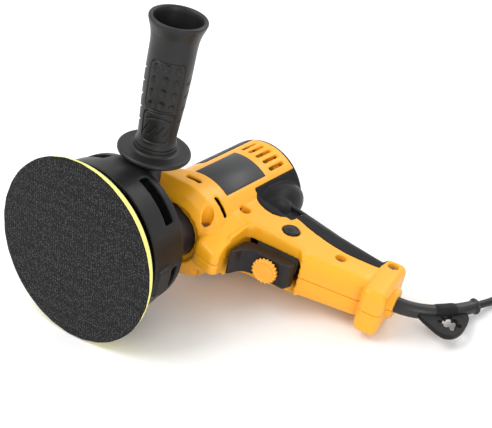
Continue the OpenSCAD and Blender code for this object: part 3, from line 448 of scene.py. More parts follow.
def hook_fabric(colour):
    """The hook sheet: rows of tiny stiff hooks in a knitted ground."""
    paint = Paint("hook sheet", colour, 0.85)
    hooks = paint.cells(1.7, "F1", 0.75)
    ground = paint.noise(0.6, 5, 0.75)
    rows = paint.bands(2.2, "X", "SIN", 2.5)
    paint.tinted(paint.ranged(hooks, 0.12, 0.42, 0.85, 0.0), [c * 13 for c in colour])
    paint.tinted(paint.ranged(rows, 0.5, 0.95, 0.0, 0.45), [c * 0.4 for c in colour])
    paint.tinted(paint.ranged(ground, 0.5, 0.72, 0.0, 0.7), [c * 7 for c in colour])
    paint.tinted(paint.ranged(paint.noise(16, 3), 0.35, 0.75, 0.0, 0.3), [c * 2.5 for c in colour])
    paint.bump(hooks, 0.6, 1.0).bump(ground, 0.35, 0.8).bump(rows, 0.2, 0.5)
    return paint.done(Sheen_Weight=0.12, Sheen_Roughness=0.4, Specular_IOR_Level=0.12)


def pale_foam(colour):
    """Closed-cell foam with fine pores."""
    paint = Paint("pad foam", colour, 0.8)
    pores = paint.cells(0.7)
    # The pores' pits are painted darker: painted shade inside the pores.
    paint.tinted(paint.ranged(pores, 0.0, 0.3, 0.45, 0.0), [c * 0.7 for c in colour])
    paint.tinted(paint.ranged(paint.noise(8, 4), 0.4, 0.75, 0.0, 0.4), (0.9, 0.83, 0.2))
    paint.bump(pores, 0.12, 0.6).bump(paint.noise(3, 3), 0.1, 0.5)
    return paint.done(Subsurface_Weight=0.15, Subsurface_Scale=0.004, Sheen_Weight=0.2)


def pale_floor(colour):
    paint = Paint("pale floor", colour, 0.6)
    paint.tinted(paint.ranged(paint.noise(300, 2), 0.3, 0.7, 0, 0.4), [c * 0.985 for c in colour])
    paint.bump(paint.noise(1.2, 3), 0.01, 0.4)
    return paint.done(Specular_IOR_Level=0.2)


# ---- What a user would change ----


def tint(name, text, default):
    return FloatVectorProperty(
        name=name, description=text, subtype="COLOR", size=3, min=0, max=1, default=default
    )


def length(name, text, default, low=0.0, high=1000.0):
    """A size in millimetres."""
    return FloatProperty(name=name, description=text, default=default, min=low, max=high, unit="NONE")


class PolisherShellSettings(bpy.types.PropertyGroup):
    shell_colour: tint("Shell colour", "Colour of the two nylon shells", (0.93, 0.415, 0.012))
    cap_colour: tint("Cap colour", "Colour of the rear cap and the back strap", (0.0085, 0.008, 0.0095))
    label_colour: tint("Label colour", "Colour of the blank label plates", (0.02, 0.0205, 0.0225))
    skin_voxel: length("Skin detail", "Size of the smallest detail kept in the shells' skin", 0.85, 0.5, 3)
    skin_passes: IntProperty(name="Skin softness", description="How far the skin's edges are softened",
                             default=9, min=0, max=40)


class PolisherPadSettings(bpy.types.PropertyGroup):
    hook_colour: tint("Hook colour", "Colour of the hook sheet", (0.0085, 0.0085, 0.009))
    foam_colour: tint("Foam colour", "Colour of the pad's foam", (0.93, 0.9, 0.22))
    black_colour: tint("Plate colour", "Colour of the backing plate and the skirt", (0.0085, 0.0085, 0.0095))
    dent: length("Foam dent", "How far the foam's edge wavers", 0.35, 0, 2)


class PolisherHandleSettings(bpy.types.PropertyGroup):
    handle_colour: tint("Handle colour", "Colour of the side handle and its guard", (0.010, 0.010, 0.0108))
    groove_depth: length("Groove depth", "Depth of the grooves in the handle's grip", 0.8, 0, 1.5)
    groove_width: length("Groove width", "Half width of the grooves in the handle's grip", 0.62, 0.3, 2)


class PolisherControlSettings(bpy.types.PropertyGroup):
    trigger_colour: tint("Trigger colour", "Colour of the trigger", (0.011, 0.0095, 0.0105))
    dial_colour: tint("Dial colour", "Colour of the speed dial", (0.95, 0.4, 0.03))
    lock_colour: tint("Lock colour", "Colour of the lock-on button", (0.008, 0.0095, 0.010))
    dial_teeth: IntProperty(name="Dial teeth", description="Teeth round the speed dial", default=20, min=8,
                            max=40)


class PolisherCordSettings(bpy.types.PropertyGroup):
    cord_colour: tint("Cord colour", "Colour of the cord, its sleeve and its plug", (0.007, 0.007, 0.0073))
    cord_diameter: length("Cord diameter", "Diameter of the mains cord", 6.2, 4, 8)
    cord_length: FloatProperty(name="Cord length", description="Length of the mains cord outside the sleeve",
                               default=1.7, min=0.5, max=6, unit="LENGTH")


class PolisherStageSettings(bpy.types.PropertyGroup):
    floor_colour: tint("Floor colour", "Colour of the floor", (0.96, 0.96, 0.96))
    key_power: FloatProperty(name="Key light", description="Power of the large light overhead",
                             default=9, min=0, max=200, unit="POWER")
    world_level: FloatProperty(name="Room light", description="Brightness of the room", default=0.9, min=0,
                               max=3)
    lens: FloatProperty(name="Lens", description="Focal length of the camera", default=95.13, min=20, max=300,
                        unit="CAMERA")


def shells(context):
    return context.scene.polisher_shells


# ---- The stage and the camera ----

# The camera's direction, right and up in the tool's frame, and its distance in pad radii.
CAMERA_BACK = (0.4298, -0.7319, 0.5287)
CAMERA_RIGHT = (0.7762, 0.5987, 0.1978)
CAMERA_UP = (-0.4613, 0.3253, 0.8254)
CAMERA_AT = (1.733, 0.375, 13.057)
PAD_RADIUS = 75


# Each light's name, place, aim, size and share of the key light's power.
LIGHTS = (
    ("key", (-0.5, -0.5, 1.3), (0, 0, 0.05), (0.9, 0.7), 1.0),
    ("side", (1.3, -0.7, 0.8), (0.05, 0.05, 0.05), (0.7, 0.7), 0.55),
    ("rim", (0.3, 1.2, 1.0), (0, 0, 0.1), (0.8, 0.5), 0.5),
)
FLOOR_HALF, FLOOR_DROP = 4.0, 0.0004
SENSOR_WIDTH = 36


def area_light(name, place, aim, size, power):
    data = bpy.data.lights.new(name, "AREA")
    data.shape = "RECTANGLE"
    data.size, data.size_y = size
    data.energy = power
    lamp = bpy.data.objects.new(name, data)
    lamp.location = place
    lamp.rotation_euler = (Vector(aim) - Vector(place)).to_track_quat("-Z", "Y").to_euler()
    bpy.context.scene.collection.objects.link(lamp)


class PolisherStage(bpy.types.Operator):
    """Make the floor, the soft lights and the camera"""

    bl_idname = "polisher.stage"
    bl_label = "Stage"

    def execute(self, context):
        settings = context.scene.polisher_stage
        corners = [(-FLOOR_HALF, -FLOOR_HALF, 0), (FLOOR_HALF, -FLOOR_HALF, 0),
                   (FLOOR_HALF, FLOOR_HALF, 0), (-FLOOR_HALF, FLOOR_HALF, 0)]
        floor = mesh_object("floor", corners, [(0, 1, 2, 3)])
        floor.location.z = -FLOOR_DROP
        floor.data.materials.append(pale_floor(settings.floor_colour))
        world = bpy.data.worlds.new("studio")
        world.use_nodes = True
        sky = world.node_tree.nodes["Background"]
        sky.inputs["Color"].default_value = (1, 1, 1, 1)
        sky.inputs["Strength"].default_value = settings.world_level
        context.scene.world = world
        for name, place, aim, size, share in LIGHTS:
            area_light(name, place, aim, size, share * settings.key_power)
        data = bpy.data.cameras.new("camera")
        data.lens, data.sensor_width = settings.lens, SENSOR_WIDTH
        data.clip_start, data.clip_end = 0.05, 30
        camera = bpy.data.objects.new("camera", data)
        right, up, back = Vector(CAMERA_RIGHT), Vector(CAMERA_UP), Vector(CAMERA_BACK)
        place = (right * CAMERA_AT[0] + up * CAMERA_AT[1] + back * CAMERA_AT[2]) * PAD_RADIUS
        turn = Matrix((right, up, back)).transposed()
        camera.matrix_world = Matrix.Translation(tool_point(*place)) @ (TOOL.to_3x3() @ turn).to_4x4()
        context.scene.collection.objects.link(camera)
        context.scene.camera = camera
        context.scene.view_settings.view_transform = "Standard"
        return {"FINISHED"}


# ---- The cord, its sleeve, its key holder and its plug ----

# The free route, in millimetres in the row's frame; the coil's turns follow between its two parts.
CORD_POINTS = [
    (178, 97, 8), (180, 104, 6.4), (183, 114, 4.4), (186, 126, 3.3), (188, 140, 3.1), (189, 156, 3.1),
]
TAIL_POINTS = [
    (279, 174, 9.4), (279, 164, 9.8), (278, 154, 11.6), (276, 145, 14.6), (274, 137, 16.8), (273, 130, 17.4),
]
COIL_AT = (234, 180)
COIL_START, COIL_SWEEP = 190, 7 * 360 + 197.6
COIL_OUT, COIL_STEP = 45.1, 6.3
LAYER_LOW, LAYER_HIGH = 3.1, 9.7
BUTT_EXIT = (198.9, 153.4, 0)
CORD_START_DIRECTION = Vector((0.32, 0.93, -0.18)).normalized()
SLEEVE_LENGTH = 62
SLEEVE_ROOT, SLEEVE_TIP, SLEEVE_RING = 6.4, 5.1, 6.6


def coil_points():
    """The coil's turns: inwards on the floor, then outwards on top of them."""
    turns = COIL_SWEEP / 360
    count = int(turns * 28)
    made = []
    for k in range(count):
        t = k / count
        depth = min(t, 1 - t) * turns * COIL_STEP
        climb = min(1, max(0, (t - 0.46) / 0.08))
        z = LAYER_LOW + (LAYER_HIGH - LAYER_LOW) * climb * climb * (3 - 2 * climb)
        a = math.radians(COIL_START - COIL_SWEEP * t)
        r = COIL_OUT - depth
        made.append(Vector((COIL_AT[0] + r * math.cos(a), COIL_AT[1] + r * math.sin(a), z)))
    return made


def sleeve_path(steps):
    """The bend of the rubber sleeve, from the butt to where the bare cord starts, in the row's frame."""
    start, end = tool_point(*BUTT_EXIT), Vector(CORD_POINTS[0]) * MM
    first = start + (TOOL.to_3x3() @ GRIP_AXIS) * 0.4 * SLEEVE_LENGTH * MM
    second = end - CORD_START_DIRECTION * 0.3 * SLEEVE_LENGTH * MM
    made = []
    for k in range(steps + 1):
        t, u = k / steps, 1 - k / steps
        made.append(start * u ** 3 + first * 3 * u * u * t + second * 3 * u * t * t + end * t ** 3)
    return made


def sleeve_radius(t):
    """The sleeve's radius in millimetres: a taper with a soft ring at its end."""
    taper = SLEEVE_ROOT + (SLEEVE_TIP - SLEEVE_ROOT) * min(1, t * 1.05)
    ring = math.exp(-(((t - 0.972) / 0.02) ** 4))
    mouth = 0.9 * math.exp(-(((t - 1.0) / 0.012) ** 2))
    return taper + (SLEEVE_RING - SLEEVE_TIP) * ring - mouth


# The key holder's outline and its splash-shaped hole, in the tool's side plane.
TAB_OUTLINE = [
    (214, 163), (216, 157), (222, 153.4), (231, 150.6), (240, 148.4), (246.5, 149.2), (251, 154.5),
    (252.4, 164), (250.6, 175), (248, 183.4), (244.4, 188), (239.8, 189.6), (235, 187), (229, 181),
    (221, 171.5),
]
HOLE_AT = (240, 166)
HOLE_RAYS = [(9.4, 20), (8, 72), (9.8, 122), (8.2, 172), (9.6, 222), (7.6, 268), (9.6, 316)]
TAB_THICKNESS = 4.0


def flat_curve(name, outlines, thickness, bevel):
    """A flat plate with rounded edges from outlines in the tool's side plane; the later ones are holes."""
    curve = bpy.data.curves.new(name, "CURVE")
    curve.dimensions = "2D"
    curve.fill_mode = "BOTH"
    curve.extrude = thickness / 2 - bevel
    curve.bevel_depth = bevel
    curve.bevel_resolution = 2
    curve.offset = -bevel
    for outline in outlines:
        spline = curve.splines.new("POLY")
        spline.points.add(len(outline) - 1)
        for point, (x, y) in zip(spline.points, outline):
            point.co = (x, y, 0, 1)
        spline.use_cyclic_u = True
    shape = bpy.data.objects.new(name, curve)
    bpy.context.scene.collection.objects.link(shape)
    bpy.context.view_layer.update()
    mesh = bpy.data.meshes.new_from_object(shape.evaluated_get(bpy.context.evaluated_depsgraph_get()))
    bpy.data.objects.remove(shape)
    mesh.transform(TOOL_MM)
    made = bpy.data.objects.new(name, mesh)
    bpy.context.scene.collection.objects.link(made)
    bm = bmesh.new()
    bm.from_mesh(mesh)
    bmesh.ops.remove_doubles(bm, verts=bm.verts, dist=1e-6)
    bm.to_mesh(mesh)
    bm.free()
    return made


def closed_smooth(points, steps):
    """A closed outline rounded through its points."""
    flat = [Vector((x, y, 0)) for x, y in points]
    looped = flat[-2:] + flat + flat[:3]
    path = smooth_path(looped, steps)
    return [(p.x, p.y) for p in path[2 * steps:(2 + len(flat)) * steps]]


def splash():
    """The outline of the key holder's hole: seven blunt rays."""
    made = []
    for (reach, angle), (_, following) in zip(HOLE_RAYS, HOLE_RAYS[1:] + HOLE_RAYS[:1]):
        valley = angle + ((following - angle) % 360) / 2
        for radius, a in ((reach, angle - 11), (reach, angle + 11), (5.4, valley)):
            made.append((HOLE_AT[0] + radius * math.cos(math.radians(a)),
                         HOLE_AT[1] + radius * math.sin(math.radians(a))))
    return made


class PolisherCord(bpy.types.Operator):
    """Make the mains cord with its sleeve, key holder, coil and plug"""

    bl_idname = "polisher.cord"
    bl_label = "Cord"

    def execute(self, context):
        settings = context.scene.polisher_cord
        colour = settings.cord_colour
        skin = rubber("cord rubber", colour, 0.42, 0.6, 0.02).done(Specular_IOR_Level=0.4)
        matt = rubber("sleeve rubber", colour, 0.4, 0.5, 0.02).done(Specular_IOR_Level=0.55)
        path = sleeve_path(72)
        inner = len(path) - 1
        radii = [sleeve_radius(k / inner) * MM for k in range(inner + 1)]
        sleeve = dress(sweep("cord_sleeve", path, radii, 40), matt, ["strain_relief"], 50)
        tab = flat_curve("key_tab", [closed_smooth(TAB_OUTLINE, 5), splash()], TAB_THICKNESS, 0.6)
        band_path = [path[k] for k in range(int(0.42 * inner), int(0.68 * inner) + 1)]
        count = len(band_path) - 1
        band = sweep("key_band", band_path,
                     [(sleeve_radius(0.55) + 0.75 - 0.6 * abs(2 * k / count - 1) ** 6) * MM
                      for k in range(count + 1)], 40)
        key_skin = rubber("key holder rubber", colour, 0.5, 0.4, 0.03).done(Specular_IOR_Level=0.22)
        dress(tab, key_skin, ["key_holder"], 45)
        dress(band, key_skin, [], 45)
        plug = moulded_copy("mains_plug", ["plug"], 0.7, 8)
        dress(plug, matt, ["plug"])
        route = smooth_path([Vector(p) for p in CORD_POINTS] + coil_points()[:1], 4)[:-1]
        tail = smooth_path([Vector(p) for p in TAIL_POINTS], 4)
        points = [p * MM for p in route + coil_points() + tail]
        curve = bpy.data.curves.new("mains_cord", "CURVE")
        curve.dimensions = "3D"
        curve.bevel_depth = settings.cord_diameter / 2 * MM
        curve.bevel_resolution = 6
        curve.use_fill_caps = True
        spline = curve.splines.new("POLY")
        spline.points.add(len(points) - 1)
        for point, place in zip(spline.points, points):
            point.co = (*place, 1)
        spline.use_smooth = True
        flex = bpy.data.objects.new("mains_cord", curve)
        context.scene.collection.objects.link(flex)
        dress(flex, skin, ["cord", "cord_coil", "cord_tail"], 0)
        return {"FINISHED"}


# ---- CAD nodes that are shown as they are ----


def finish_nodes(material, bevels):
    """Gives some CAD nodes a material and rounds their edges by the width that bevels holds for each."""
    for node, width in bevels.items():
        shown = frame["nodes"][node]
        shown.data.materials.clear()
        shown.data.materials.append(material)
        if width:
            crisp_bevel(node, width)


# ---- The pad ----

HOOK_T, FOAM_T = 1.2, 9
FOAM_EDGE = [(74.6, 0.0), (74.75, 0.7), (74.4, 1.9), (73.6, 3.5), (72.6, 5.2), (71.6, 6.8), (70.5, 8.1),
             (69.3, 8.9)]


class PolisherPad(bpy.types.Operator):
    """Make the hook sheet, the foam and the backing plate"""

    bl_idname = "polisher.pad"
    bl_label = "Pad"

    def execute(self, context):
        settings = context.scene.polisher_pad
        spin = axis_frame((0, 0, 0), (0, 1, 0), (1, 0, 0))
        rng = np.random.default_rng(4)
        phases = rng.uniform(0, 2 * math.pi, 12)

        def sheet_radius(radius, _, a):
            if radius < PAD_RADIUS - 1:
                return radius
            fray = math.sin(71 * a + phases[2]) * math.sin(43 * a + phases[3])
            wave = math.sin(23 * a + phases[0]) * math.sin(9 * a + phases[1])
            return radius - 0.3 - 0.15 * wave - 0.15 * fray

        face = [(r, 0.12 + 0.09 * math.sin(r * 1.9) * math.cos(r * 0.7)) for r in np.arange(1.5, 74.4, 0.75)]
        outline = face + [(74.8, 0.2), (75, 0.5), (75, 0.9), (74.8, HOOK_T), (60, HOOK_T), (20, HOOK_T)]
        hooks = lathe("hook_sheet", outline, spin, 360, sheet_radius)
        dress(hooks, hook_fabric(settings.hook_colour), ["hook_face"], body="spindle")

        def foam_radius(radius, _, a):
            wave = sum(math.sin((k + 2) * a + phases[k]) / (k + 2) for k in range(10))
            return radius - settings.dent * (0.5 + 0.5 * wave) * (1 if radius > 60 else 0)

        edge = [(r, HOOK_T + h) for r, h in FOAM_EDGE]
        outline = [(20, HOOK_T), (60, HOOK_T), (73.6, HOOK_T)] + edge
        outline += [(67.6, HOOK_T + FOAM_T), (62, HOOK_T + FOAM_T), (20, HOOK_T + FOAM_T)]
        foam = lathe("pad_foam", outline, spin, 256, foam_radius)
        dress(foam, pale_foam(settings.foam_colour), ["foam_pad"], 50, "spindle")
        finish_nodes(black_plastic(settings.black_colour), {"backing_plate": 0.5})
        return {"FINISHED"}


class PolisherSkirt(bpy.types.Operator):
    """Make the slotted skirt round the pad's neck"""

    bl_idname = "polisher.skirt"
    bl_label = "Skirt"

    def execute(self, context):
        colour = context.scene.polisher_pad.black_colour
        skirt = moulded_copy("skirt", ["shroud"], 0.75, 6)
        dress(skirt, black_plastic(colour), ["shroud"])
        return {"FINISHED"}


class PolisherGears(bpy.types.Operator):
    """Finish the gear case, the bearings, the spindle and the gears"""

    bl_idname = "polisher.gears"
    bl_label = "Gear case"

    def execute(self, context):
        cast = metal(
            "painted die cast", (0.035, 0.031, 0.036), 0.42, size=0.8, depth=0.03
        ).done(Metallic=0.35)
        finish_nodes(cast, {"gear_case": 0.6, "bearing_plate": 0.4})
        steel = metal("turned steel", (0.55, 0.55, 0.56), 0.26, (1, 1, 9), 0.4, 0.006).done(Anisotropic=0.4)
        finish_nodes(steel, {
            "spindle": 0.3, "drive_gear": 0.12, "armature_shaft": 0.12, "front_bearing": 0.35,
            "rear_bearing": 0.3, "motor_front_bearing": 0.3, "motor_rear_bearing": 0.3,
        })
        return {"FINISHED"}


# ---- The shells, the cap and the labels ----

# The bead round the trigger's opening, the strap's lip and the cap's lobes, in the tool's frame.
BEAD_LINE = [(75.6, 92), (75.7, 102), (76.4, 111.6), (81.4, 117.2), (101, 120.8), (122.6, 124.4),
             (128.9, 119.4), (130.1, 113.6), (130, 111)]
BEAD_R = 1.7
LIP_OUTLINE = [(86, 190), (86, 152.5), (93, 154), (100, 153.2), (108, 151.6), (117, 150.6),
               (132, 150.2), (147, 151), (158, 153.4), (168, 156.2), (174, 158.4), (174, 190)]
LOBE_OUTLINE = [(56.5, 190), (56.5, 148.6), (58.5, 146.6), (62, 144), (67, 141.6), (73, 140.2), (80, 140.4),
                (86, 143.4), (90.5, 148.6), (92, 156), (92, 190)]
LIP_RAISE, LOBE_RAISE = 0.4, 0.8
LOBE_AT, LOBE_SIZE = (64.5, 171, 12), (17.5, 31, 17.5)
BULB_AT, BULB_SIZE = (72, 158, 13), (16, 18, 14.5)


def prism(name, outline, half):
    """A closed prism, half millimetres to each side of the tool's side plane."""
    count = len(outline)
    verts = [tool_point(x, y, z) for z in (-half, half) for x, y in outline]
    faces = [tuple(range(count)), tuple(range(2 * count - 1, count - 1, -1))]
    faces += [(k, (k + 1) % count, count + (k + 1) % count, count + k) for k in range(count)]
    made = mesh_object(name, verts, faces)
    tidy_normals(made)
    return made


def ball(name, centre, size, matrix):
    """A closed ellipsoid of millimetre half sizes."""
    turns, rows = 48, 24
    outline = [(math.sin(math.pi * k / rows), -math.cos(math.pi * k / rows)) for k in range(1, rows)]
    shape = matrix @ Matrix.Translation(Vector(centre)) @ Matrix.Diagonal((*size, 1))
    made = lathe(name, [(r, h) for r, h in outline], shape, turns)
    tidy_normals(made)
    return made


def opening_bead(shell, side):
    """A bead laid along the trigger's opening on one side of a shell's skin."""
    points = [v.co[:] for v in shell.data.vertices]
    skin = BVHTree.FromPolygons(points, [p.vertices[:] for p in shell.data.polygons])
    down = TOOL.to_3x3() @ Vector((0, 0, -side))
    path = []
    for x, y, _ in smooth_path([Vector((x, y, 0)) for x, y in BEAD_LINE], 6):
        hit = skin.ray_cast(tool_point(x, y, 60 * side), down)[0]
        if hit is not None:
            path.append(hit - down * 0.25 * MM)
    levels = [(TOOL.inverted() @ p).z for p in path]
    windows = [levels[max(k - 4, 0):k + 5] for k in range(len(levels))]
    path = [p - down * side * (sum(w) / len(w) - level) for p, level, w in zip(path, levels, windows)]
    tube = sweep("bead", path, [BEAD_R * MM] * len(path), 16)
    tidy_normals(tube)
    return tube


class PolisherShells(bpy.types.Operator):
    """Make the two nylon shells"""

    bl_idname = "polisher.shells"
    bl_label = "Shells"

    def execute(self, context):
        settings = shells(context)
        skin = yellow_plastic(settings.shell_colour)
        for name, node, side in (("shell_left", "left_housing", 1), ("shell_right", "right_housing", -1)):
            first = moulded_copy(name + "_core", [node], settings.skin_voxel, 2)
            bead = opening_bead(first, side)
            bpy.data.objects.remove(first)
            made = moulded_copy(name, [node], settings.skin_voxel, settings.skin_passes, extra=[bead])
            dress(made, skin, [node])
        return {"FINISHED"}


def overmould(name, outline, raise_by, passes):
    """The layer that lies on the shells inside an outline, raised by raise_by millimetres."""
    layer = moulded_copy(name, ["left_housing", "right_housing"], 0.9, passes)
    cut_away(layer, prism(name + "_zone", outline, 60), "INTERSECT")
    raised = layer.modifiers.new("raise", "DISPLACE")
    raised.strength = raise_by * MM
    raised.mid_level = 0
    return applied(layer)


class PolisherCap(bpy.types.Operator):
    """Make the rear cap and the grip's back strap"""

    bl_idname = "polisher.cap"
    bl_label = "Cap and strap"

    def execute(self, context):
        settings = shells(context)
        skin = soft_black(settings.cap_colour)
        lobes = [ball("lobe", (centre[0], centre[1], side * centre[2]), size, TOOL_MM)
                 for side in (-1, 1) for centre, size in ((LOBE_AT, LOBE_SIZE), (BULB_AT, BULB_SIZE))]
        apron = overmould("cap_apron", LOBE_OUTLINE, LOBE_RAISE, settings.skin_passes)
        cap = moulded_copy("rear_cap_skin", ["rear_cap"], 0.75, 12, extra=lobes + [apron])
        dress(cap, skin, ["rear_cap"])
        lip = overmould("strap_lip", LIP_OUTLINE, LIP_RAISE, settings.skin_passes)
        strap = moulded_copy("back_strap", ["grip_backstrap"], 0.7, 7, extra=[lip])
        dress(strap, skin, ["grip_backstrap"])
        return {"FINISHED"}


class PolisherLabels(bpy.types.Operator):
    """Finish the blank label plates"""

    bl_idname = "polisher.labels"
    bl_label = "Labels"

    def execute(self, context):
        finish_nodes(label_film(shells(context).label_colour), {"label_plates": 0.15})
        return {"FINISHED"}


# ---- The side handle ----

HANDLE_Y = 77.8
FLANGE_Z, FLANGE_R = 63.5, 29
MOUTH_Z = 176.5
# The guard's outline below and above its rim, as radius and height over the flange's middle.
GUARD_FOOT = [(4.1, -9.5), (11.4, -9.5), (12, -8.9), (12, -5), (13.2, -4.4), (17, -3.6), (22, -2.7)]
GUARD_COLLAR = [(24, 2.2), (20, 2.35), (18.4, 2.6), (17.5, 3.1), (17.0, 4.0), (16.9, 5.2), (16.9, 7.0),
                (16.6, 7.6), (15.7, 7.8), (15.5, 8.8), (10.2, 8.9), (9.8, 12), (9.8, 24), (4.1, 24.6)]
# The grip's outer radius at heights over the tool's side plane, and its mouth and bore.
GRIP_RADII = [
    (72.6, 16.4), (75, 15.5), (78, 15.2), (84, 15.4), (95, 16.1), (106, 16.9), (117, 17.4), (127, 17.7),
    (136, 17.9), (147, 17.9), (155, 18.0), (160, 18.4), (165, 19.3), (169, 20.6), (172, 21.7), (174, 22.3),
]
GRIP_BORE = [(22.4, 174.4), (22.4, 175.5), (22.0, 176.2), (20.9, MOUTH_Z), (20.0, MOUTH_Z), (19.3, 176.1),
             (18.8, 175.2), (18, 172), (16.6, 163), (14.6, 154), (13.6, 125), (12.6, 96), (10.4, 92),
             (10.2, 72.6)]
PANEL_ANGLE = -58
PANEL_HALF, RIB_HALF = 46, 35
PANEL_HEIGHTS, PANEL_CORNER = ((105.5, 146), (78, 103.5)), 5
GRIP_MEAN_R = 17
# The dimples' spacing round and along the grip, their first height, the middle column's rise,
# and their half sizes.
DIMPLE_TURN, DIMPLE_STEP, DIMPLE_FIRST, DIMPLE_RISE = 27.52, 10.509, 109.4, 1.6
DIMPLE_HALF_WIDTH, DIMPLE_HALF_HEIGHT = 2.3, 2.9
SLASHES = (-10, -3.5, 3, 9.5)
RIB_FIRST, RIB_STEP, RIB_REACH, RIB_SLOPE = 88, 11, 8, 3.5


def groove(distance, width, depth):
    return depth * math.exp(-((distance / width) ** 4))


def box_distance(u, v, half_u, low, high, corner):
    """The distance from (u, v) to a rounded rectangle's outline."""
    middle, half_v = (low + high) / 2, (high - low) / 2
    du, dv = abs(u) - half_u + corner, abs(v - middle) - half_v + corner
    outside = math.hypot(max(du, 0), max(dv, 0))
    return abs(outside + min(max(du, dv), 0) - corner)


def line_distance(u, v, start, end):
    a, b, p = Vector(start), Vector(end), Vector((u, v))
    t = min(1, max(0, (p - a).dot(b - a) / (b - a).length_squared))
    return (p - a - (b - a) * t).length


def grip_relief(height, angle, depth, width):
    """How deep the grip's relief is at a height and an angle in degrees."""
    u = (angle - PANEL_ANGLE + 90) % 180 - 90
    cut = 0.0
    if abs(u) < PANEL_HALF + 6:
        s = math.radians(u) * GRIP_MEAN_R
        half = math.radians(PANEL_HALF) * GRIP_MEAN_R
        for low, high in PANEL_HEIGHTS:
            cut = max(cut, groove(box_distance(s, height, half, low, high, PANEL_CORNER), width, depth))
        for column in (-1, 0, 1):
            du = (s - math.radians(DIMPLE_TURN * column) * GRIP_MEAN_R) / DIMPLE_HALF_WIDTH
            for row in range(4):
                at = DIMPLE_FIRST + DIMPLE_STEP * row + (DIMPLE_RISE if column == 0 else 0)
                dv = (height - at) / DIMPLE_HALF_HEIGHT
                cut = max(cut, 1.5 * depth * math.exp(-((du * du + dv * dv) ** 2)))
        for start in SLASHES:
            d = line_distance(s, height, (start - 3.2, 84), (start + 2.4, 92.5))
            cut = max(cut, groove(d, 0.75 * width, 0.9 * depth))
        bow = 96.5 + 2.6 * math.cos(s / 7.5)
        if abs(s) < half - 3:
            cut = max(cut, groove(height - bow, 0.8 * width, 0.9 * depth))
    side = (angle - PANEL_ANGLE) % 180 - 90
    if abs(side) < RIB_HALF:
        s = math.radians(side) * GRIP_MEAN_R
        for row in range(5):
            at = RIB_FIRST + RIB_STEP * row
            d = line_distance(s, height, (-RIB_REACH, at - RIB_SLOPE), (RIB_REACH, at + RIB_SLOPE))
            cut = max(cut, groove(d, 1.15 * width, 1.1 * depth))
    return cut


class PolisherSideHandle(bpy.types.Operator):
    """Make the side handle with its guard, its grip and its stud"""

    bl_idname = "polisher.side_handle"
    bl_label = "Side handle"

    def execute(self, context):
        settings = context.scene.polisher_handle
        skin = handle_plastic(settings.handle_colour)
        stand = axis_frame((0, HANDLE_Y, 0), (0, 0, 1), (1, 0, 0))
        rim = arc((FLANGE_R - 2.3, 0), 2.3, -90, 88, 12)
        outline = [(r, FLANGE_Z + h) for r, h in GUARD_FOOT + rim + GUARD_COLLAR]
        guard = turned_ring("handle_guard", outline, stand, 160)
        dress(guard, skin, ["handle_flange"], 32)

        heights = np.arange(GRIP_RADII[0][0], GRIP_RADII[-1][0], 0.36)
        radii = np.interp(heights, [z for z, _ in GRIP_RADII], [r for _, r in GRIP_RADII])
        outer = [(float(r), float(z)) for r, z in zip(radii, heights)]
        def relief(radius, height, a):
            if radius < 15 or height > 150:
                return radius
            return radius - grip_relief(height, math.degrees(a), settings.groove_depth, settings.groove_width)

        grip = turned_ring("handle_grip_skin", outer + GRIP_BORE, stand, 400, relief)
        dress(grip, skin, ["handle_grip"])
        finish_nodes(metal("plated stud", (0.6, 0.6, 0.6), 0.3, (1, 1, 6)).done(), {"handle_stud": 0.2})
        return {"FINISHED"}


# ---- The controls ----

DIAL_AT = (106.5, 104.6, 0)
DIAL_R = 10.75
DIAL_OUTLINE = [
    (2.4, -4.4), (2.5, -4.1), (2.5, 0.6), (9.2, 0.7), (10.3, 0.85), (DIAL_R, 1.25), (DIAL_R, 2.4),
    (DIAL_R, 3.4), (10.5, 4.0), (9.9, 4.45), (9.2, 4.65), (8.3, 4.7), (7.9, 4.5), (7.5, 4.2),
    (7.1, 4.1), (6.5, 4.15), (4.5, 4.32), (2, 4.4),
]
LOCK_AT = (102.5, 136.5, 0)
LOCK_R = 7
LOCK_OUTLINE = [
    (2.2, 8), (2.5, 8.4), (2.5, 18.4), (6.6, 18.5), (LOCK_R, 18.9), (LOCK_R, 21.8), (6.8, 22.5), (6.3, 23.0),
    (5.6, 23.25), (5.2, 23.15), (4.9, 23.0), (4.4, 23.08), (2.6, 23.38), (1.0, 23.5),
]


class PolisherTrigger(bpy.types.Operator):
    """Make the trigger"""

    bl_idname = "polisher.trigger"
    bl_label = "Trigger"

    def execute(self, context):
        made = moulded_copy("trigger_skin", ["trigger"], 0.5, 9)
        skin = trigger_plastic(context.scene.polisher_controls.trigger_colour)
        dress(made, skin, ["trigger"], body="trigger")
        return {"FINISHED"}


class PolisherDial(bpy.types.Operator):
    """Make the toothed speed dial"""

    bl_idname = "polisher.dial"
    bl_label = "Speed dial"

    def execute(self, context):
        settings = context.scene.polisher_controls
        stand = axis_frame(DIAL_AT, -PULL_AXIS, GRIP_AXIS)

        def teeth(radius, _, a):
            if radius < 8.4:
                return radius
            wave = math.cos(settings.dial_teeth * a)
            fade = min(1, (radius - 8.4) / 1.4)
            return radius - fade * 1.25 * (0.5 - 0.5 * wave) ** 0.8

        made = lathe("speed_dial_wheel", DIAL_OUTLINE, stand, 240, teeth)
        mark = lathe("dial_mark", [(0.2, 3.2), (0.9, 3.2), (0.9, 4.35), (0.6, 4.62), (0.2, 4.66)],
                     stand @ Matrix.Translation((5.3, 0, 0)), 24)
        skin = dial_plastic(settings.dial_colour)
        dress(made, skin, ["speed_dial"], 40, "speed_dial")
        dress(mark, skin, [], 40, "speed_dial")
        return {"FINISHED"}


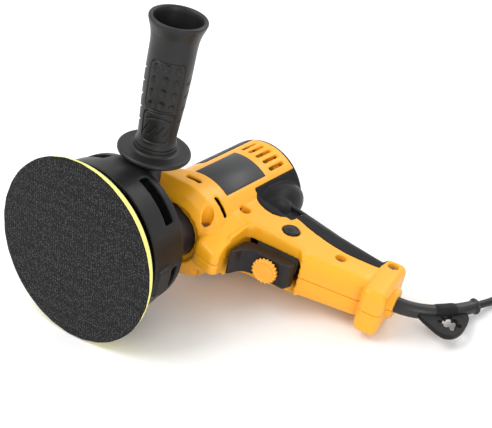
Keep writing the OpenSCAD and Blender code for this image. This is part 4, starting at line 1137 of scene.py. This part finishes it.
class PolisherLockButton(bpy.types.Operator):
    """Make the lock-on button"""

    bl_idname = "polisher.lock_button"
    bl_label = "Lock-on button"

    def execute(self, context):
        colour = context.scene.polisher_controls.lock_colour
        stand = axis_frame(LOCK_AT, (0, 0, 1), GRIP_AXIS)
        made = lathe("lock_button_cap", LOCK_OUTLINE, stand, 96)
        dress(made, trigger_plastic(colour), ["lock_button"], 50, "lock_button")
        return {"FINISHED"}


# ---- The fasteners and the inside ----


class PolisherFasteners(bpy.types.Operator):
    """Finish the screws and the plug's pins"""

    bl_idname = "polisher.fasteners"
    bl_label = "Fasteners"

    def execute(self, context):
        zinc = metal("zinc steel", (0.42, 0.42, 0.43), 0.34, (1, 1, 1), 0.6, 0.01).done()
        finish_nodes(zinc, {"housing_screws": 0.25, "gear_case_screws": 0.2, "shroud_screw": 0.25,
                            "cord_clamp_screws": 0.2})
        plated = metal("plated pins", (0.72, 0.7, 0.62), 0.22, (1, 1, 5), 0.5, 0.006).done()
        finish_nodes(plated, {"plug_pins": 0.35})
        return {"FINISHED"}


class PolisherMotor(bpy.types.Operator):
    """Finish the motor, the fan, the switch and the cord's clamp"""

    bl_idname = "polisher.motor"
    bl_label = "Motor and switch"

    def execute(self, context):
        wire = metal("lacquered wire", (0.55, 0.2, 0.07), 0.35, (6, 1, 6), 0.9, 0.15)
        for paint, bevels in (
            (metal("laminations", (0.3, 0.3, 0.31), 0.45, (1, 9, 1), depth=0.05),
             {"armature_core": 0.15, "stator_core": 0.3}),
            (metal("copper bars", (0.72, 0.36, 0.2), 0.28, (1, 8, 1), 0.4, 0.02), {"commutator": 0.1}),
            (metal("brass", (0.68, 0.5, 0.22), 0.3, size=0.6), {"brush_holders": 0.2}),
            (metal("spring steel", (0.5, 0.5, 0.5), 0.3), {"brush_springs": 0}),
            (rubber("carbon", (0.02, 0.02, 0.02), 0.6, 0.2, 0.02), {"carbon_brushes": 0.15}),
            (moulded_plastic("fan nylon", (0.05, 0.05, 0.055), 0.5), {"cooling_fan": 0.2, "cord_clamp": 0.3}),
            (moulded_plastic("switch case", (0.16, 0.15, 0.13), 0.5), {"switch_body": 0.4}),
            (moulded_plastic("film capacitor", (0.55, 0.33, 0.05), 0.4), {"suppressor": 0.8}),
        ):
            finish_nodes(paint.done(), bevels)
        finish_nodes(wire.done(Coat_Weight=0.4), {"armature_windings": 0.6, "field_coils": 0.8})
        return {"FINISHED"}


# ---- The panel ----

GROUPS = (
    ("stage", "polisher_stage", PolisherStage),
    ("cord", "polisher_cord", PolisherCord),
    ("pad", "polisher_pad", PolisherPad),
    ("skirt", None, PolisherSkirt),
    ("gears", None, PolisherGears),
    ("shells", "polisher_shells", PolisherShells),
    ("cap", None, PolisherCap),
    ("labels", None, PolisherLabels),
    ("side_handle", "polisher_handle", PolisherSideHandle),
    ("trigger", "polisher_controls", PolisherTrigger),
    ("dial", None, PolisherDial),
    ("lock_button", None, PolisherLockButton),
    ("fasteners", None, PolisherFasteners),
    ("motor", None, PolisherMotor),
)


class PolisherPanel(bpy.types.Panel):
    """Buttons for each part of the polisher and what can be changed about it"""

    bl_label = "Rotary polisher"
    bl_idname = "VIEW3D_PT_polisher"
    bl_space_type = "VIEW_3D"
    bl_region_type = "UI"
    bl_category = "Polisher"

    def draw(self, context):
        for _, settings_name, operator in GROUPS:
            box = self.layout.box()
            box.operator(operator.bl_idname)
            if settings_name:
                settings = getattr(context.scene, settings_name)
                for key in settings.bl_rna.properties.keys():
                    if key not in {"rna_type", "name"}:
                        box.prop(settings, key)


SETTINGS = (
    ("polisher_shells", PolisherShellSettings),
    ("polisher_pad", PolisherPadSettings),
    ("polisher_handle", PolisherHandleSettings),
    ("polisher_controls", PolisherControlSettings),
    ("polisher_cord", PolisherCordSettings),
    ("polisher_stage", PolisherStageSettings),
)


def register():
    for name, settings in SETTINGS:
        bpy.utils.register_class(settings)
        setattr(bpy.types.Scene, name, PointerProperty(type=settings))
    for _, _, operator in GROUPS:
        bpy.utils.register_class(operator)
    bpy.utils.register_class(PolisherPanel)


def unregister():
    bpy.utils.unregister_class(PolisherPanel)
    for _, _, operator in reversed(GROUPS):
        bpy.utils.unregister_class(operator)
    for name, settings in reversed(SETTINGS):
        delattr(bpy.types.Scene, name)
        bpy.utils.unregister_class(settings)


def main():
    register()
    for name, _, _ in GROUPS:
        getattr(bpy.ops.polisher, name)()


if __name__ == "__main__":
    main()
